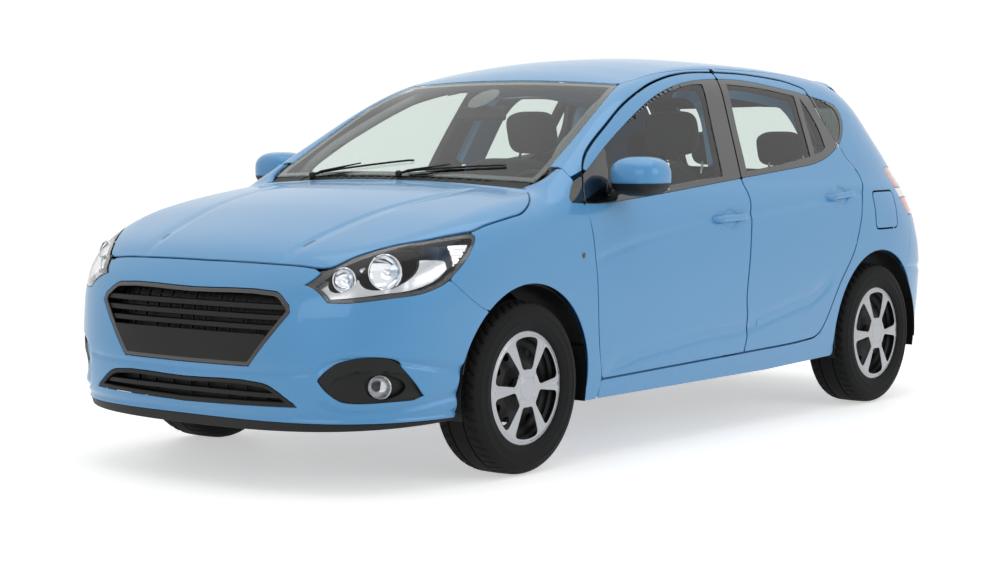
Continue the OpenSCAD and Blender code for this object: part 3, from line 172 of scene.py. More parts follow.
def window_material(name, color, clear):
    """Thin glass: a reflection over a tinted see-through layer. Only front faces reflect, so
    that the two skins of a pane shine once."""
    m = bpy.data.materials.new(name)
    m.use_nodes = True
    t = m.node_tree
    for n in list(t.nodes):
        if n.type == "BSDF_PRINCIPLED":
            t.nodes.remove(n)
    out = t.nodes["Material Output"]
    shine = node(t, "BsdfGlossy", {"Roughness": 0.015, "Color": (1, 1, 1, 1)})
    through = node(t, "BsdfTransparent", {"Color": rgb(color)})
    fresnel = node(t, "Fresnel", {"IOR": 1.45})
    face = node(t, "NewGeometry")
    front = node(t, "Math", {0: 1.0}, operation="SUBTRACT")
    share = node(t, "Math", operation="MULTIPLY")
    t.links.new(face.outputs["Backfacing"], front.inputs[1])
    t.links.new(front.outputs["Value"], share.inputs[0])
    t.links.new(fresnel.outputs["Fac"], share.inputs[1])
    where = node(t, "TexCoord")
    wave = node(t, "TexNoise", {"Scale": 3.0, "Detail": 1.0})
    raised = node(t, "Bump", {"Distance": 0.0004, "Strength": 0.3})
    t.links.new(where.outputs["Object"], wave.inputs["Vector"])
    t.links.new(wave.outputs["Fac"], raised.inputs["Height"])
    t.links.new(raised.outputs["Normal"], shine.inputs["Normal"])
    mix = node(t, "MixShader")
    t.links.new(share.outputs["Value"], mix.inputs["Fac"])
    t.links.new(through.outputs["BSDF"], mix.inputs[1])
    t.links.new(shine.outputs["BSDF"], mix.inputs[2])
    t.links.new(mix.outputs["Shader"], out.inputs["Surface"])
    m.diffuse_color = rgb(color, clear)
    return m


# float glass, very slightly green, and the grey tinted pane behind the rear door
GLASS = window_material("window_glass", "#f3f7f5", 0.4)
PRIVACY = window_material("dark_glass", "#8f9896", 0.6)

# ---- the body's outer surface, the same rule as in part.scad ----
WIDTH = [(150, 792), (220, 812), (320, 829), (480, 842), (680, 850), (830, 845), (900, 834),
         (960, 815), (1010, 790), (1100, 752), (1250, 684), (1400, 614), (1520, 556)]
NOSE = [(150, -2020), (200, -2040), (300, -2062), (430, -2065), (600, -2048), (690, -2020),
        (770, -1975), (850, -1930), (1000, -1830)]
TAIL = [(200, 2030), (300, 2050), (430, 2062), (560, 2065), (660, 2050), (740, 2022),
        (950, 1985), (1020, 1950), (1200, 1820), (1360, 1695), (1520, 1570)]
TAIL_POWER = [(300, 4.8), (700, 4.8), (1000, 3.6), (1500, 3.4)]
NOSE_POWER = 3.4
BONNET = [(-2100, 620), (-2030, 690), (-1945, 768), (-1850, 828), (-1700, 886), (-1456, 957),
          (-1200, 1003), (-969, 1030), (-600, 1050)]
ROOF = [(-600, 1350), (-255, 1432), (-100, 1463), (50, 1490), (250, 1512), (500, 1522),
        (800, 1516), (1100, 1497), (1350, 1470), (1600, 1428), (1700, 1408), (2000, 1330)]
SHOULDER = [(-2050, 50), (-1650, 110), (-1100, 120), (-900, 80), (-300, 80), (300, 110),
            (1400, 120), (1900, 80)]
NOSE_START, TAIL_START = -1235, 1165


def curve(table, t):
    """Monotone cubic through the table's points: harmonic means of the slopes at the knots."""
    table = np.asarray(table, float)
    x, y = table[:, 0], table[:, 1]
    s = np.diff(y)/np.diff(x)
    m = np.empty_like(y)
    product = s[:-1]*s[1:]
    m[1:-1] = np.where(product > 0, 2*product/(s[:-1] + s[1:] + 1e-30), 0)
    m[0], m[-1] = s[0], s[-1]
    t = np.asarray(t, float)
    c = np.clip(t, x[0], x[-1])
    i = np.clip(np.searchsorted(x, c) - 1, 0, len(x) - 2)
    h = x[i + 1] - x[i]
    u = (c - x[i])/h
    v = ((2*u**3 - 3*u**2 + 1)*y[i] + (u**3 - 2*u**2 + u)*h*m[i]
         + (3*u**2 - 2*u**3)*y[i + 1] + (u**3 - u**2)*h*m[i + 1])
    return v + np.minimum(t - x[0], 0)*m[0] + np.maximum(t - x[-1], 0)*m[-1]


def soft_max(a, b, k):
    """The larger of a and b, plus (k - |a - b|)^2 / 4k where they lie closer than k."""
    h = np.maximum(k - np.abs(a - b), 0)/k
    return np.maximum(a, b) + h*h*k/4


def outside(p):
    """Roughly the distance outside the body: a superellipse in plan whose half width, nose,
    tail and power go by height, blended with the height above bonnet, screen and roof."""
    x, y, z = p[..., 0], p[..., 1], p[..., 2]
    front = np.maximum(NOSE_START - y, 0)/(NOSE_START - curve(NOSE, z))
    rear = np.maximum(y - TAIL_START, 0)/(curve(TAIL, z) - TAIL_START)
    n = np.where(y < 0, NOSE_POWER, curve(TAIL_POWER, z))
    s = np.where(y < 0, front, rear)
    plan = (((np.abs(x)/curve(WIDTH, z))**n + s**n + 1e-12)**(1/n) - 1)*850
    c = (x/600)**2
    screen = 1428 + (y + 255)*0.555 - 24*c
    top = -soft_max(-soft_max(curve(BONNET, y) - 26*c, screen, 20), 52*c - curve(ROOF, y), 60)
    return soft_max(plan, z - top, curve(SHOULDER, y))


def reach(origin, way, depth, far=1700, near=0):
    """The point on origin + r way where the surface is depth below the outside, by halving."""
    low = np.full(origin.shape[:-1], float(near))
    high = np.full(origin.shape[:-1], float(far))
    for _ in range(20):
        r = (low + high)/2
        inside = outside(origin + way*r[..., None]) + depth < 0
        low = np.where(inside, r, low)
        high = np.where(inside, high, r)
    return origin + way*((low + high)/2)[..., None]


def stack(*parts):
    """Coordinates given as numbers or arrays, spread to one shape and set side by side."""
    return np.stack(np.broadcast_arrays(*parts), -1).astype(float)


def from_top(u, v):
    """Straight up at (x, y) = (u, v)."""
    return stack(u, v, 200), stack(0*u, 0, 1)


def around(y):
    """Out from an upright line through y, at angle u degrees from the nose and height v."""
    def chart(u, v):
        a = np.radians(u)
        return stack(0, y, v), stack(np.sin(a), -np.cos(a), 0)
    return chart


def across(z):
    """Out from a line along the car at height z: at station u, v degrees above level."""
    def chart(u, v):
        a = np.radians(v)
        return stack(0, u, z), stack(np.cos(a), 0*a, np.sin(a))
    return chart


def globe(y, z):
    """Out from one point: u degrees round from the left towards the tail, v degrees up."""
    def chart(u, v):
        a, b = np.radians(u), np.radians(v)
        way = stack(np.cos(a)*np.cos(b), np.sin(a)*np.cos(b), np.sin(b))
        return stack(0*u, y, z), way
    return chart


def behind(y, z):
    """Out from a level line across the car through y, z: at x = u, v degrees above the rear."""
    def chart(u, v):
        a = np.radians(v)
        return stack(u, y, z), stack(0, np.cos(a), np.sin(a))
    return chart


# ---- outlines ----
def smooth(points, closed=True, sharp=42, fine=5):
    """Catmull-Rom curve through the points, with corners kept where the turn exceeds sharp."""
    p = np.asarray(points, float)
    n = len(p)
    out = []
    def corner(i):
        if not closed and i in (0, n - 1):
            return True
        a, b = p[i] - p[i - 1], p[(i + 1) % n] - p[i]
        cos = a @ b/(np.linalg.norm(a)*np.linalg.norm(b) + 1e-9)
        return math.degrees(math.acos(max(-1, min(1, cos)))) > sharp
    for i in range(n if closed else n - 1):
        p0, p1, p2, p3 = p[i - 1], p[i], p[(i + 1) % n], p[(i + 2) % n]
        d = np.linalg.norm(p2 - p1)
        m1 = (p2 - p0)/(np.linalg.norm(p2 - p1) + np.linalg.norm(p1 - p0))*d
        m2 = (p3 - p1)/(np.linalg.norm(p3 - p2) + np.linalg.norm(p2 - p1))*d
        if corner(i):
            m1 = p2 - p1
        if corner((i + 1) % n):
            m2 = p2 - p1
        for t in np.arange(fine)/fine:
            out.append((2*t**3 - 3*t**2 + 1)*p1 + (t**3 - 2*t**2 + t)*m1
                       + (3*t**2 - 2*t**3)*p2 + (t**3 - t**2)*m2)
    if not closed:
        out.append(p[-1])
    return np.array(out)


def inside(q, poly):
    """Signed distance of the points q to a closed polygon, positive inside."""
    q = np.asarray(q, float)
    a = poly
    b = np.roll(poly, -1, 0)
    d = np.full(q.shape[:-1], 1e18)
    odd = np.zeros(q.shape[:-1], bool)
    for (ax, ay), (bx, by) in zip(a, b):
        ex, ey = bx - ax, by - ay
        wx, wy = q[..., 0] - ax, q[..., 1] - ay
        t = np.clip((wx*ex + wy*ey)/(ex*ex + ey*ey + 1e-12), 0, 1)
        d = np.minimum(d, (wx - t*ex)**2 + (wy - t*ey)**2)
        if ay != by:
            odd ^= ((ay > q[..., 1]) != (by > q[..., 1])) & (wx < ex*wy/ey)
    return np.where(odd, 1, -1)*np.sqrt(d)


def both(points):
    """A half outline and its mirror image, as one closed outline."""
    p = np.asarray(points, float)
    return np.vstack([p, (p*[-1, 1])[::-1]])


def seen(axes, outline, grow=0.0):
    """Region function: the signed distance within an outline seen along the missing axis."""
    return lambda p: inside(p[..., list(axes)], outline) + grow


YZ, XY, XZ = (1, 2), (0, 1), (0, 2)


def all_of(*regions):
    """Where every region holds: the least of their distances."""
    return lambda p: np.minimum.reduce([r(p) for r in regions])


def any_of(*regions):
    """Where at least one region holds: the greatest of their distances."""
    return lambda p: np.maximum.reduce([r(p) for r in regions])


def less(region, grow=0.0):
    """Everything outside a region, kept grow away from it."""
    return lambda p: -region(p) - grow


def disc(axes, at, r):
    """A round region: the radius less the distance from its middle."""
    return lambda p: r - np.hypot(p[..., axes[0]] - at[0], p[..., axes[1]] - at[1])


# ---- meshes ----
def add(name, verts, faces, mat, body=BODY, replaces=(), slot=None, normals=None, angle=35):
    """A mesh object from points in millimetres. faces is a list of index lists."""
    mesh = bpy.data.meshes.new(name)
    mesh.from_pydata((np.asarray(verts, float)*MM).tolist(), [], faces)
    mesh.polygons.foreach_set("use_smooth", [True]*len(mesh.polygons))
    if normals is not None:
        mesh.normals_split_custom_set(normals)
    elif angle:
        mesh.set_sharp_from_angle(angle=math.radians(angle))
    mesh.materials.append(mat)
    obj = bpy.data.objects.new(name, mesh)
    bpy.context.scene.collection.objects.link(obj)
    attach(obj, body)
    if replaces:
        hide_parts(*([replaces] if isinstance(replaces, str) else replaces))
    return obj


def shell(name, place, us, vs, region, mat, depth=(0.0, 3.5), edge=2.0, flip=False, **facts):
    """A closed sheet over a chart. place(u, v, d) gives the point d below the chart's surface.
    The grid of us by vs is cut where region, in millimetres, is zero; the outer face starts
    edge inside that line and a rounded rim runs from it to the inner face at depth[1].
    flip turns the winding for a chart whose u by v points inwards."""
    d0, d1 = depth
    grid_u, grid_v = np.meshgrid(us, vs, indexing="ij")
    def s_at(u, v):
        return region(place(u, v, d0 + 0*u)) - edge
    s = s_at(grid_u, grid_v)
    keep = s > 0
    number = np.full(s.shape, -1)
    number[keep] = np.arange(keep.sum())
    uv = [np.stack([grid_u[keep], grid_v[keep]], -1)]
    count = len(uv[0])
    step_u, step_v = (us[1] - us[0]), (vs[1] - vs[0])
    def cuts(a, b, ua, ub, va, vb):
        nonlocal count
        mask = (a > 0) != (b > 0)
        t = (a/(a - b + 1e-12))[mask]
        index = np.full(mask.shape, -1)
        index[mask] = count + np.arange(mask.sum())
        count += int(mask.sum())
        uv.append(np.stack([ua[mask] + t*(ub - ua)[mask], va[mask] + t*(vb - va)[mask]], -1))
        return index
    along = cuts(s[:-1], s[1:], grid_u[:-1], grid_u[1:], grid_v[:-1], grid_v[1:])
    up = cuts(s[:, :-1], s[:, 1:], grid_u[:, :-1], grid_u[:, 1:], grid_v[:, :-1], grid_v[:, 1:])
    uv = np.vstack(uv)
    rim = np.arange(len(uv)) >= int(keep.sum())
    hu, hv = 0.02*step_u, 0.02*step_v
    def slope(w):
        gu = (s_at(w[:, 0] + hu, w[:, 1]) - s_at(w[:, 0] - hu, w[:, 1]))/(2*hu)
        gv = (s_at(w[:, 0], w[:, 1] + hv) - s_at(w[:, 0], w[:, 1] - hv))/(2*hv)
        return gu, gv
    def move(w, gu, gv, by):
        k = by/(gu*gu*step_u**2 + gv*gv*step_v**2 + 1e-9)
        du, dv = k*gu*step_u**2, k*gv*step_v**2
        m = np.minimum(1, 0.9/np.maximum(np.maximum(abs(du/step_u), abs(dv/step_v)), 1e-9))
        return w + np.stack([du*m, dv*m], -1)
    w = uv[rim]
    gu, gv = slope(w)
    w = move(w, gu, gv, -s_at(w[:, 0], w[:, 1]))
    uv[rim] = w
    full = keep[:-1, :-1] & keep[1:, :-1] & keep[1:, 1:] & keep[:-1, 1:]
    faces = np.stack([number[:-1, :-1][full], number[1:, :-1][full], number[1:, 1:][full],
                      number[:-1, 1:][full]], -1).tolist()
    some = (keep[:-1, :-1] | keep[1:, :-1] | keep[1:, 1:] | keep[:-1, 1:]) & ~full
    for i, j in zip(*np.nonzero(some)):
        ring = [(number[i, j], along[i, j]), (number[i + 1, j], up[i + 1, j]),
                (number[i + 1, j + 1], along[i, j + 1]), (number[i, j + 1], up[i, j])]
        face = [int(k) for pair in ring for k in pair if k >= 0]
        if len(face) > 2:
            faces.append(face)
    if not faces:
        raise ValueError(f"{name} is empty")
    edges = {ab: True for f in faces for ab in zip(f, f[1:] + f[:1])}
    border = [(a, b) for a, b in edges if (b, a) not in edges]
    follow = {a: b for a, b in border}
    base = np.array(sorted(follow))
    order = {int(k): i for i, k in enumerate(base)}
    def normals_of(w, d):
        pu = place(w[:, 0] + hu, w[:, 1], d) - place(w[:, 0] - hu, w[:, 1], d)
        pv = place(w[:, 0], w[:, 1] + hv, d) - place(w[:, 0], w[:, 1] - hv, d)
        n = np.cross(pu, pv)
        n = n/(np.linalg.norm(n, axis=-1, keepdims=True) + 1e-12)
        return -n if flip else n
    zero = 0*uv[:, 0]
    outer = place(uv[:, 0], uv[:, 1], zero + d0)
    inner = place(uv[:, 0], uv[:, 1], zero + d1)
    nrm = normals_of(uv, zero + d0)
    wb = uv[base]
    gu, gv = slope(wb)
    near_edge = s_at(wb[:, 0], wb[:, 1]) < edge
    by = np.where(near_edge, edge, 0.0)
    mid_uv, rim_uv = move(wb, gu, gv, -0.7*by), move(wb, gu, gv, -by)
    zb = 0*wb[:, 0]
    sign = 1 if d1 > d0 else -1
    mid = place(mid_uv[:, 0], mid_uv[:, 1], zb + d0 + sign*0.3*edge)
    low = place(rim_uv[:, 0], rim_uv[:, 1], zb + d0 + sign*edge)
    deep = place(rim_uv[:, 0], rim_uv[:, 1], zb + d1)
    n, nb = len(uv), len(base)
    verts = np.vstack([outer, inner, mid, low, deep])
    out_dir = low - outer[base]
    side = out_dir - (out_dir*nrm[base]).sum(-1, keepdims=True)*nrm[base]
    side = side/(np.linalg.norm(side, axis=-1, keepdims=True) + 1e-9)
    tilt = side*0.8 + nrm[base]*0.6
    all_faces, loops = [], []
    for f in faces:
        g = f[::-1] if flip else f
        all_faces.append(g)
        loops.extend(nrm[g])
    for f in faces:
        g = [k + n for k in (f if flip else f[::-1])]
        all_faces.append(g)
        loops.extend(-nrm[[k - n for k in g]])
    m0, l0, q0 = 2*n, 2*n + nb, 2*n + 2*nb
    for a, b in border:
        ia, ib = order[a], order[b]
        strips = [([a, b, m0 + ib, m0 + ia], [nrm[a], nrm[b], tilt[ib], tilt[ia]]),
                  ([m0 + ia, m0 + ib, l0 + ib, l0 + ia], [tilt[ia], tilt[ib], side[ib], side[ia]]),
                  ([l0 + ia, l0 + ib, q0 + ib, q0 + ia], [side[ia], side[ib], side[ib], side[ia]]),
                  ([q0 + ia, q0 + ib, n + b, n + a], [-nrm[a], -nrm[b], -nrm[b], -nrm[a]])]
        for quad, ns in strips:
            if not flip:
                quad, ns = quad[::-1], ns[::-1]
            all_faces.append(quad)
            loops.extend(ns)
    return add(name, verts, all_faces, mat, normals=np.array(loops).tolist(), **facts)


def mirrored(obj, name, **facts):
    """The same piece on the right side: x turned round and every face's winding with it."""
    mesh = obj.data
    v = np.empty(len(mesh.vertices)*3)
    mesh.vertices.foreach_get("co", v)
    v = v.reshape(-1, 3)/MM*[-1, 1, 1]
    faces = [list(p.vertices)[::-1] for p in mesh.polygons]
    normals = None
    if mesh.has_custom_normals:
        ns = np.empty(len(mesh.loops)*3)
        mesh.corner_normals.foreach_get("vector", ns)
        ns = ns.reshape(-1, 3)*[-1, 1, 1]
        normals = []
        for p in mesh.polygons:
            normals.extend(ns[list(p.loop_indices)][::-1].tolist())
    return add(name, v, faces, mesh.materials[0], normals=normals, **facts)


def pair(make, name, body=BODY, replaces=(), slot=None):
    """Makes the left piece with make(name, **facts) and its mirror image on the right."""
    def facts(side):
        def fit(t):
            return t.replace("SIDE", side)
        r = [fit(k) for k in ([replaces] if isinstance(replaces, str) else replaces)]
        return {"body": fit(body), "replaces": r, "slot": slot}
    left = make(name.replace("SIDE", "left"), **facts("left"))
    mirrored(left, name.replace("SIDE", "right"), **facts("right"))


def twin(name, shape, mat, angle=35, **facts):
    """Points and faces as a piece on the left, and its mirror image on the right."""
    pair(lambda n, **f: add(n, *shape, mat, angle=angle, **f), name, **facts)


def twin_shell(name, place, us, vs, region, mat, depth, edge=2.0, flip=False, **facts):
    """A sheet over a chart on the left, and its mirror image on the right."""
    pair(lambda n, **f: shell(n, place, us, vs, region, mat, depth, edge, flip, **f), name, **facts)


def steps(a, b, cell):
    """Even steps from a to b, as near to cell long as fits."""
    return np.linspace(a, b, max(2, int(round(abs(b - a)/cell)) + 1))


def on(chart, relief=None, far=1700):
    """place() over the body's surface. relief(p) is a depth added by the place on it."""
    def place(u, v, d):
        origin, way = chart(u, v)
        if relief is None:
            return reach(origin, way, d, far)
        p = reach(origin, way, 0*d, far)
        return reach(origin, way, d + relief(p), far)
    return place


# ---- sizes shared with the frame, millimetres ----
SHUT, FRAME_GAP, ARCH_GAP = 7, 8, 62
FRONT_Y, REAR_Y, TYRE_R, TYRE_W, TRACK = -1194, 1376, 310, 195, 742
SEAM_Y = 1425

# outlines from the side (y, z), from above (x, y) and from behind (x, z)
FRONT_DOOR = [[-760, 1070], [-719, 1111], [-659, 1152], [-526, 1224], [-325, 1321], [-125, 1389],
              [65, 1431], [239, 1451], [428, 1456], [304, 1013], [312, 940], [298, 869],
              [278, 725], [259, 545], [281, 405], [265, 314], [-732, 298], [-766, 442],
              [-796, 706], [-816, 860], [-826, 953]]
REAR_DOOR = [[428, 1456], [667, 1451], [949, 1428], [1061, 1406], [1105, 1393], [1137, 1273],
             [1196, 1153], [1224, 1085], [1280, 1029], [1284, 982], [1239, 914], [1196, 799],
             [1137, 684], [1021, 550], [891, 366], [807, 330], [265, 314], [281, 405], [259, 545],
             [278, 725], [298, 869], [312, 940], [304, 1013]]
FRONT_GLASS = [[-671, 978], [-618, 1048], [-564, 1160], [-335, 1255], [-142, 1329], [42, 1377],
               [197, 1401], [284, 1404], [222, 1212], [173, 1032]]
REAR_GLASS = [[366, 1046], [408, 1215], [469, 1406], [729, 1392], [978, 1362], [948, 1226],
              [920, 1102], [644, 1070]]
QUARTER_LIGHT = [[966, 1108], [990, 1226], [1021, 1352], [1053, 1299], [1079, 1221],
                 [1076, 1140], [1036, 1124]]
QUARTER_WINDOW = [[1135, 1358], [1216, 1336], [1277, 1312], [1296, 1290], [1292, 1255],
                  [1262, 1210], [1222, 1175], [1199, 1170], [1160, 1247]]
BONNET_OUTLINE = [[0, -1938], [245, -1933], [421, -1922], [537, -1904], [596, -1839],
                  [679, -1729], [750, -1630], [801, -1488], [803, -1400], [803, -1311],
                  [801, -1246], [797, -1182], [771, -1107], [738, -1056], [659, -968],
                  [450, -976], [0, -984]]
SCREEN_OUTLINE = [[0, -250], [300, -240], [500, -214], [530, -196], [588, -409], [620, -585],
                  [640, -730], [655, -850], [652, -918], [400, -932], [0, -940]]
ROOF_OUTLINE = [[0, -248], [300, -238], [500, -212], [532, -196], [541, -150], [538, 1425],
                [0, 1425]]
FENDER = [[-1471, 861], [-1488, 875], [-1400, 896], [-1311, 909], [-1246, 919], [-1182, 929],
          [-1107, 956], [-1056, 978], [-962, 1011], [-900, 1040], [-845, 1070], [-817, 1085],
          [-833, 1059], [-833, 1031], [-908, 972], [-908, 957], [-826, 953], [-816, 860],
          [-796, 706], [-766, 442], [-732, 298], [-745, 225], [-900, 225], [-1194, 600],
          [-1429, 603], [-1528, 653], [-1616, 719], [-1546, 776], [-1480, 845]]
SIDE = [[430, 1530], [1400, 1530], [1440, 1475], [1550, 1405], [1645, 1305], [1725, 1205],
        [1800, 1105], [1860, 1050], [1860, 1037], [1700, 1040], [1620, 1046], [1562, 1035],
        [1600, 950], [1660, 850], [1706, 829], [1690, 740], [1668, 650], [1640, 575],
        [1560, 400], [1376, 600], [1000, 240], [430, 225]]
SILL = [[-739, 225], [-732, 298], [-700, 335], [450, 335], [450, 225]]
BUMPER_SIDE = [[1600, 190], [1640, 575], [1668, 650], [1690, 740], [1706, 829], [2100, 829],
               [2100, 190]]
UPPER_GRILLE = [[0, 683], [384, 683], [452, 640], [459, 614], [304, 427], [0, 425]]
LOWER_GRILLE = [[0, 376], [362, 375], [478, 312], [492, 298], [0, 288]]
FOG_BEZEL = [[560, 392], [592, 428], [628, 453], [700, 468], [742, 462], [764, 436], [782, 380],
             [790, 332], [776, 318], [640, 316], [588, 352]]
HEADLAMP = [[-1968, 706], [-1904, 762], [-1839, 799], [-1729, 837], [-1630, 855], [-1488, 875],
            [-1471, 858], [-1494, 825], [-1546, 776], [-1616, 719], [-1659, 697], [-1735, 675],
            [-1829, 664], [-1933, 649], [-1963, 651]]
TAIL_LAMP = [[1562, 1035], [1620, 1046], [1700, 1040], [1860, 1037], [1960, 1030], [2040, 1000],
             [2040, 829], [1706, 829], [1660, 850], [1600, 950]]
TAILGATE = [[0, 1500], [520, 1500], [540, 1400], [575, 1200], [600, 1060], [560, 1040],
            [555, 820], [600, 800], [590, 670], [0, 665]]
REAR_GLASS_OUT = [[0, 1345], [440, 1335], [500, 1180], [530, 1040], [515, 1005], [0, 990]]
FLAP = (1443, 859)
BUMPER_EYE, BUMPER_TAIL, GATE_EYE = -1250, 1250, (1300, 1150)


def loop(points, fine=4):
    """A closed outline, curved through its points."""
    return smooth(points, fine=fine)


def half(points, fine=4):
    """A half outline from the middle line, curved, and mirrored into a closed one."""
    return both(smooth(points, closed=False, fine=fine))


S_FRONT, S_REAR = loop(FRONT_DOOR), loop(REAR_DOOR)
S_GLASS1, S_GLASS2, S_LIGHT = loop(FRONT_GLASS), loop(REAR_GLASS), loop(QUARTER_LIGHT)
S_QUARTER, S_FENDER, S_SIDE, S_SILL = (loop(QUARTER_WINDOW), loop(FENDER), loop(SIDE),
                                       np.array(SILL, float))
S_LAMP, S_TAIL_LAMP, S_FOG = loop(HEADLAMP), loop(TAIL_LAMP), loop(FOG_BEZEL)
S_BONNET, S_SCREEN, S_ROOF = half(BONNET_OUTLINE), half(SCREEN_OUTLINE), half(ROOF_OUTLINE)
S_GRILLE, S_LOWER, S_GATE, S_BACKLIGHT = (half(UPPER_GRILLE), half(LOWER_GRILLE), half(TAILGATE),
                                          half(REAR_GLASS_OUT))
BUMPER_LINE = np.array(BUMPER_SIDE, float)


def flap_region(grow=0.0):
    """A rounded rectangle of 208 by 166 with 24 mm corners around the flap's middle."""
    def region(p):
        a = np.abs(p[..., 1] - FLAP[0]) - 80
        b = np.abs(p[..., 2] - FLAP[1]) - 59
        far = np.hypot(np.maximum(a, 0), np.maximum(b, 0)) + np.minimum(np.maximum(a, b), 0)
        return 24 + grow - far
    return region


def arch(y, grow=0.0):
    """The opening round the wheel at y: a circle ARCH_GAP wider than the tyre."""
    return disc(YZ, (y, TYRE_R), TYRE_R + ARCH_GAP + grow)


def creases(p, lines):
    """Depth of soft folds pressed along lines of (y, z) points: a bell across each line, fading
    at its ends. lines holds (points, depth, half width)."""
    total = 0*p[..., 0]
    for points, depth, wide in lines:
        q = np.asarray(points, float)
        z = np.interp(p[..., 1], q[:, 0], q[:, 1])
        fade = (np.clip((p[..., 1] - q[0, 0])/90, 0, 1)*np.clip((q[-1, 0] - p[..., 1])/90, 0, 1))
        t = (p[..., 2] - z)/wide
        total = total + depth*fade*np.where(t > 0, np.exp(-t*t*2), np.exp(-t*t*14))
    return total


UPPER_LINE = [(-830, 735), (-512, 795), (5, 858), (303, 876), (921, 918), (1300, 940)]
LOWER_LINE = [(-720, 320), (-490, 364), (-77, 400), (281, 409), (607, 464), (787, 490),
              (960, 560)]
BOWLS = ((132, 863), (1055, 930))


def side_relief(p):
    """The side's two folds, the hollow above the lower one and the bowls behind the handles."""
    d = creases(p, [(UPPER_LINE, 5.0, 34), (LOWER_LINE, 7.0, 60)])
    for y, z in BOWLS:
        r = np.hypot((p[..., 1] - y)/62, (p[..., 2] - z)/46)
        d = d + 15*np.clip(1 - r*r, 0, 1)**1.5
    return d


# ---- body panels ----
CELL = 12
DLO = loop([[-908, 972], [-905, 977], [-833, 1034], [-766, 1058], [-555, 1167], [-331, 1267],
            [-131, 1344], [61, 1394], [240, 1419], [405, 1427], [623, 1424], [899, 1394],
            [1023, 1378], [1158, 1356], [1294, 1329], [1324, 1297], [1317, 1249], [1270, 1194],
            [1200, 1148], [1079, 1102], [932, 1070], [709, 1051], [292, 1020], [-688, 950],
            [-908, 957]], 3)
SIDE_CHART = across(700)


def angles(a, b, cell=None, r=850):
    """Even steps from a to b degrees, about cell long on a circle of radius r."""
    return steps(a, b, math.degrees((cell or CELL)/r))


def above_z(z):
    return lambda p: p[..., 2] - z


def below_z(z):
    return lambda p: z - p[..., 2]


def ahead(y):
    return lambda p: y - p[..., 1]


def behind_y(y):
    return lambda p: p[..., 1] - y


def side_x(x):
    return lambda p: np.abs(p[..., 0]) - x


def side_piece(name, region, y, a, mat, depth, cell=None, relief=side_relief, **facts):
    """A sheet of the side from station y[0] to y[1] and from a[0] to a[1] degrees above level."""
    twin_shell(name, on(SIDE_CHART, relief), steps(*y, cell or CELL), angles(*a, cell), region, mat,
               depth, **facts)


def lining_relief(p):
    """A raised band and a hollow one along the lining of a door."""
    return creases(p, [([(-600, 700), (1150, 740)], -6.0, 40),
                       ([(-600, 520), (1150, 600)], 6.0, 60)])


DOORS = (("front", S_FRONT, (-850, 450), (-30, 62), [S_GLASS1], -736),
         ("rear", S_REAR, (240, 1300), (-30, 64), [S_GLASS2, S_LIGHT], 338))
for which, outline, ys, span, panes, axis in DOORS:
    door = f"{which}_door_SIDE"
    whole = seen(YZ, outline, -SHUT/2)
    windows = any_of(*[seen(YZ, w) for w in panes])
    side_piece(f"{which}_door_skin_SIDE", all_of(whole, less(seen(YZ, DLO))), ys, span, PAINT,
               (0, 4), body=door, replaces=[door], slot="paint")
    side_piece(f"{which}_window_trim_SIDE", all_of(whole, seen(YZ, DLO, -0.6), less(windows)),
               ys, (10, 62), GLOSS, (1.0, 5.0), 10, None, body=door, slot="black_plastic")
    side_piece(f"{which}_door_frame_SIDE",
               all_of(seen(YZ, outline, -20), less(windows, -1), above_z(930),
                      behind_y(axis + 20)),
               ys, (10, 62), BLACK, (10, 42), 14, None, body=door, slot="black_plastic")
    side_piece(f"{which}_door_inner_SIDE",
               all_of(seen(YZ, outline, -24), less(windows, 3), below_z(962),
                      behind_y(axis + 14)),
               ys, (-30, 24), PAINT, (4.5, 72), 18, None, body=door, slot="paint")
    side_piece(f"{which}_door_lining_SIDE",
               all_of(seen(YZ, outline, -52), below_z(940), above_z(385), behind_y(axis + 100)),
               ys, (-26, 22), TRIM, (72.5, 96), 16, lining_relief, body=door,
               slot="black_plastic")
    side_piece(f"{which}_window_seal_SIDE",
               all_of(whole, lambda p: 7 - np.abs(seen(YZ, outline, -16)(p)), above_z(960),
                      behind_y(axis + 20)),
               ys, (10, 62), RUBBER, (42, 50), 9, None, body=door, slot="black_plastic")
    side_piece(f"{which}_glass_SIDE", any_of(*[seen(YZ, w, 7) for w in panes]), ys, (12, 62),
               GLASS, (5.4, 9.4), 14, None, body=door,
               replaces=[f"{which}_door_glass_SIDE"], slot="window_glass")

side_piece("fender_SIDE", all_of(seen(YZ, S_FENDER), less(arch(FRONT_Y)), side_x(560),
                                 less(seen(XY, S_BONNET, SHUT/2)), less(seen(XY, S_SCREEN, 3)),
                                 less(seen(YZ, DLO))),
           (-1640, -720), (-36, 40), PAINT, (0, 4), replaces=["front_fenders"], slot="paint")
side_piece("sail_panel_SIDE", all_of(seen(YZ, DLO, -0.6), ahead(-700),
                                     less(seen(YZ, S_FRONT, SHUT/2)),
                                     less(seen(XY, S_SCREEN, 3))),
           (-920, -700), (14, 40), GLOSS, (0.8, 5), 8, None, slot="black_plastic")

doors = any_of(seen(YZ, S_FRONT, SHUT/2), seen(YZ, S_REAR, SHUT/2),
               all_of(any_of(seen(YZ, S_FRONT, FRAME_GAP/2), seen(YZ, S_REAR, FRAME_GAP/2)),
                      above_z(1000)))
gate = all_of(seen(XZ, S_GATE, SHUT/2), behind_y(1430))
roof_zone = seen(XY, S_ROOF, 1.2)
quarter = all_of(seen(YZ, S_SIDE), less(doors), less(arch(REAR_Y)), less(gate), less(roof_zone),
                 less(seen(YZ, DLO)), side_x(300))
REAR_CHART = globe(880, 700)


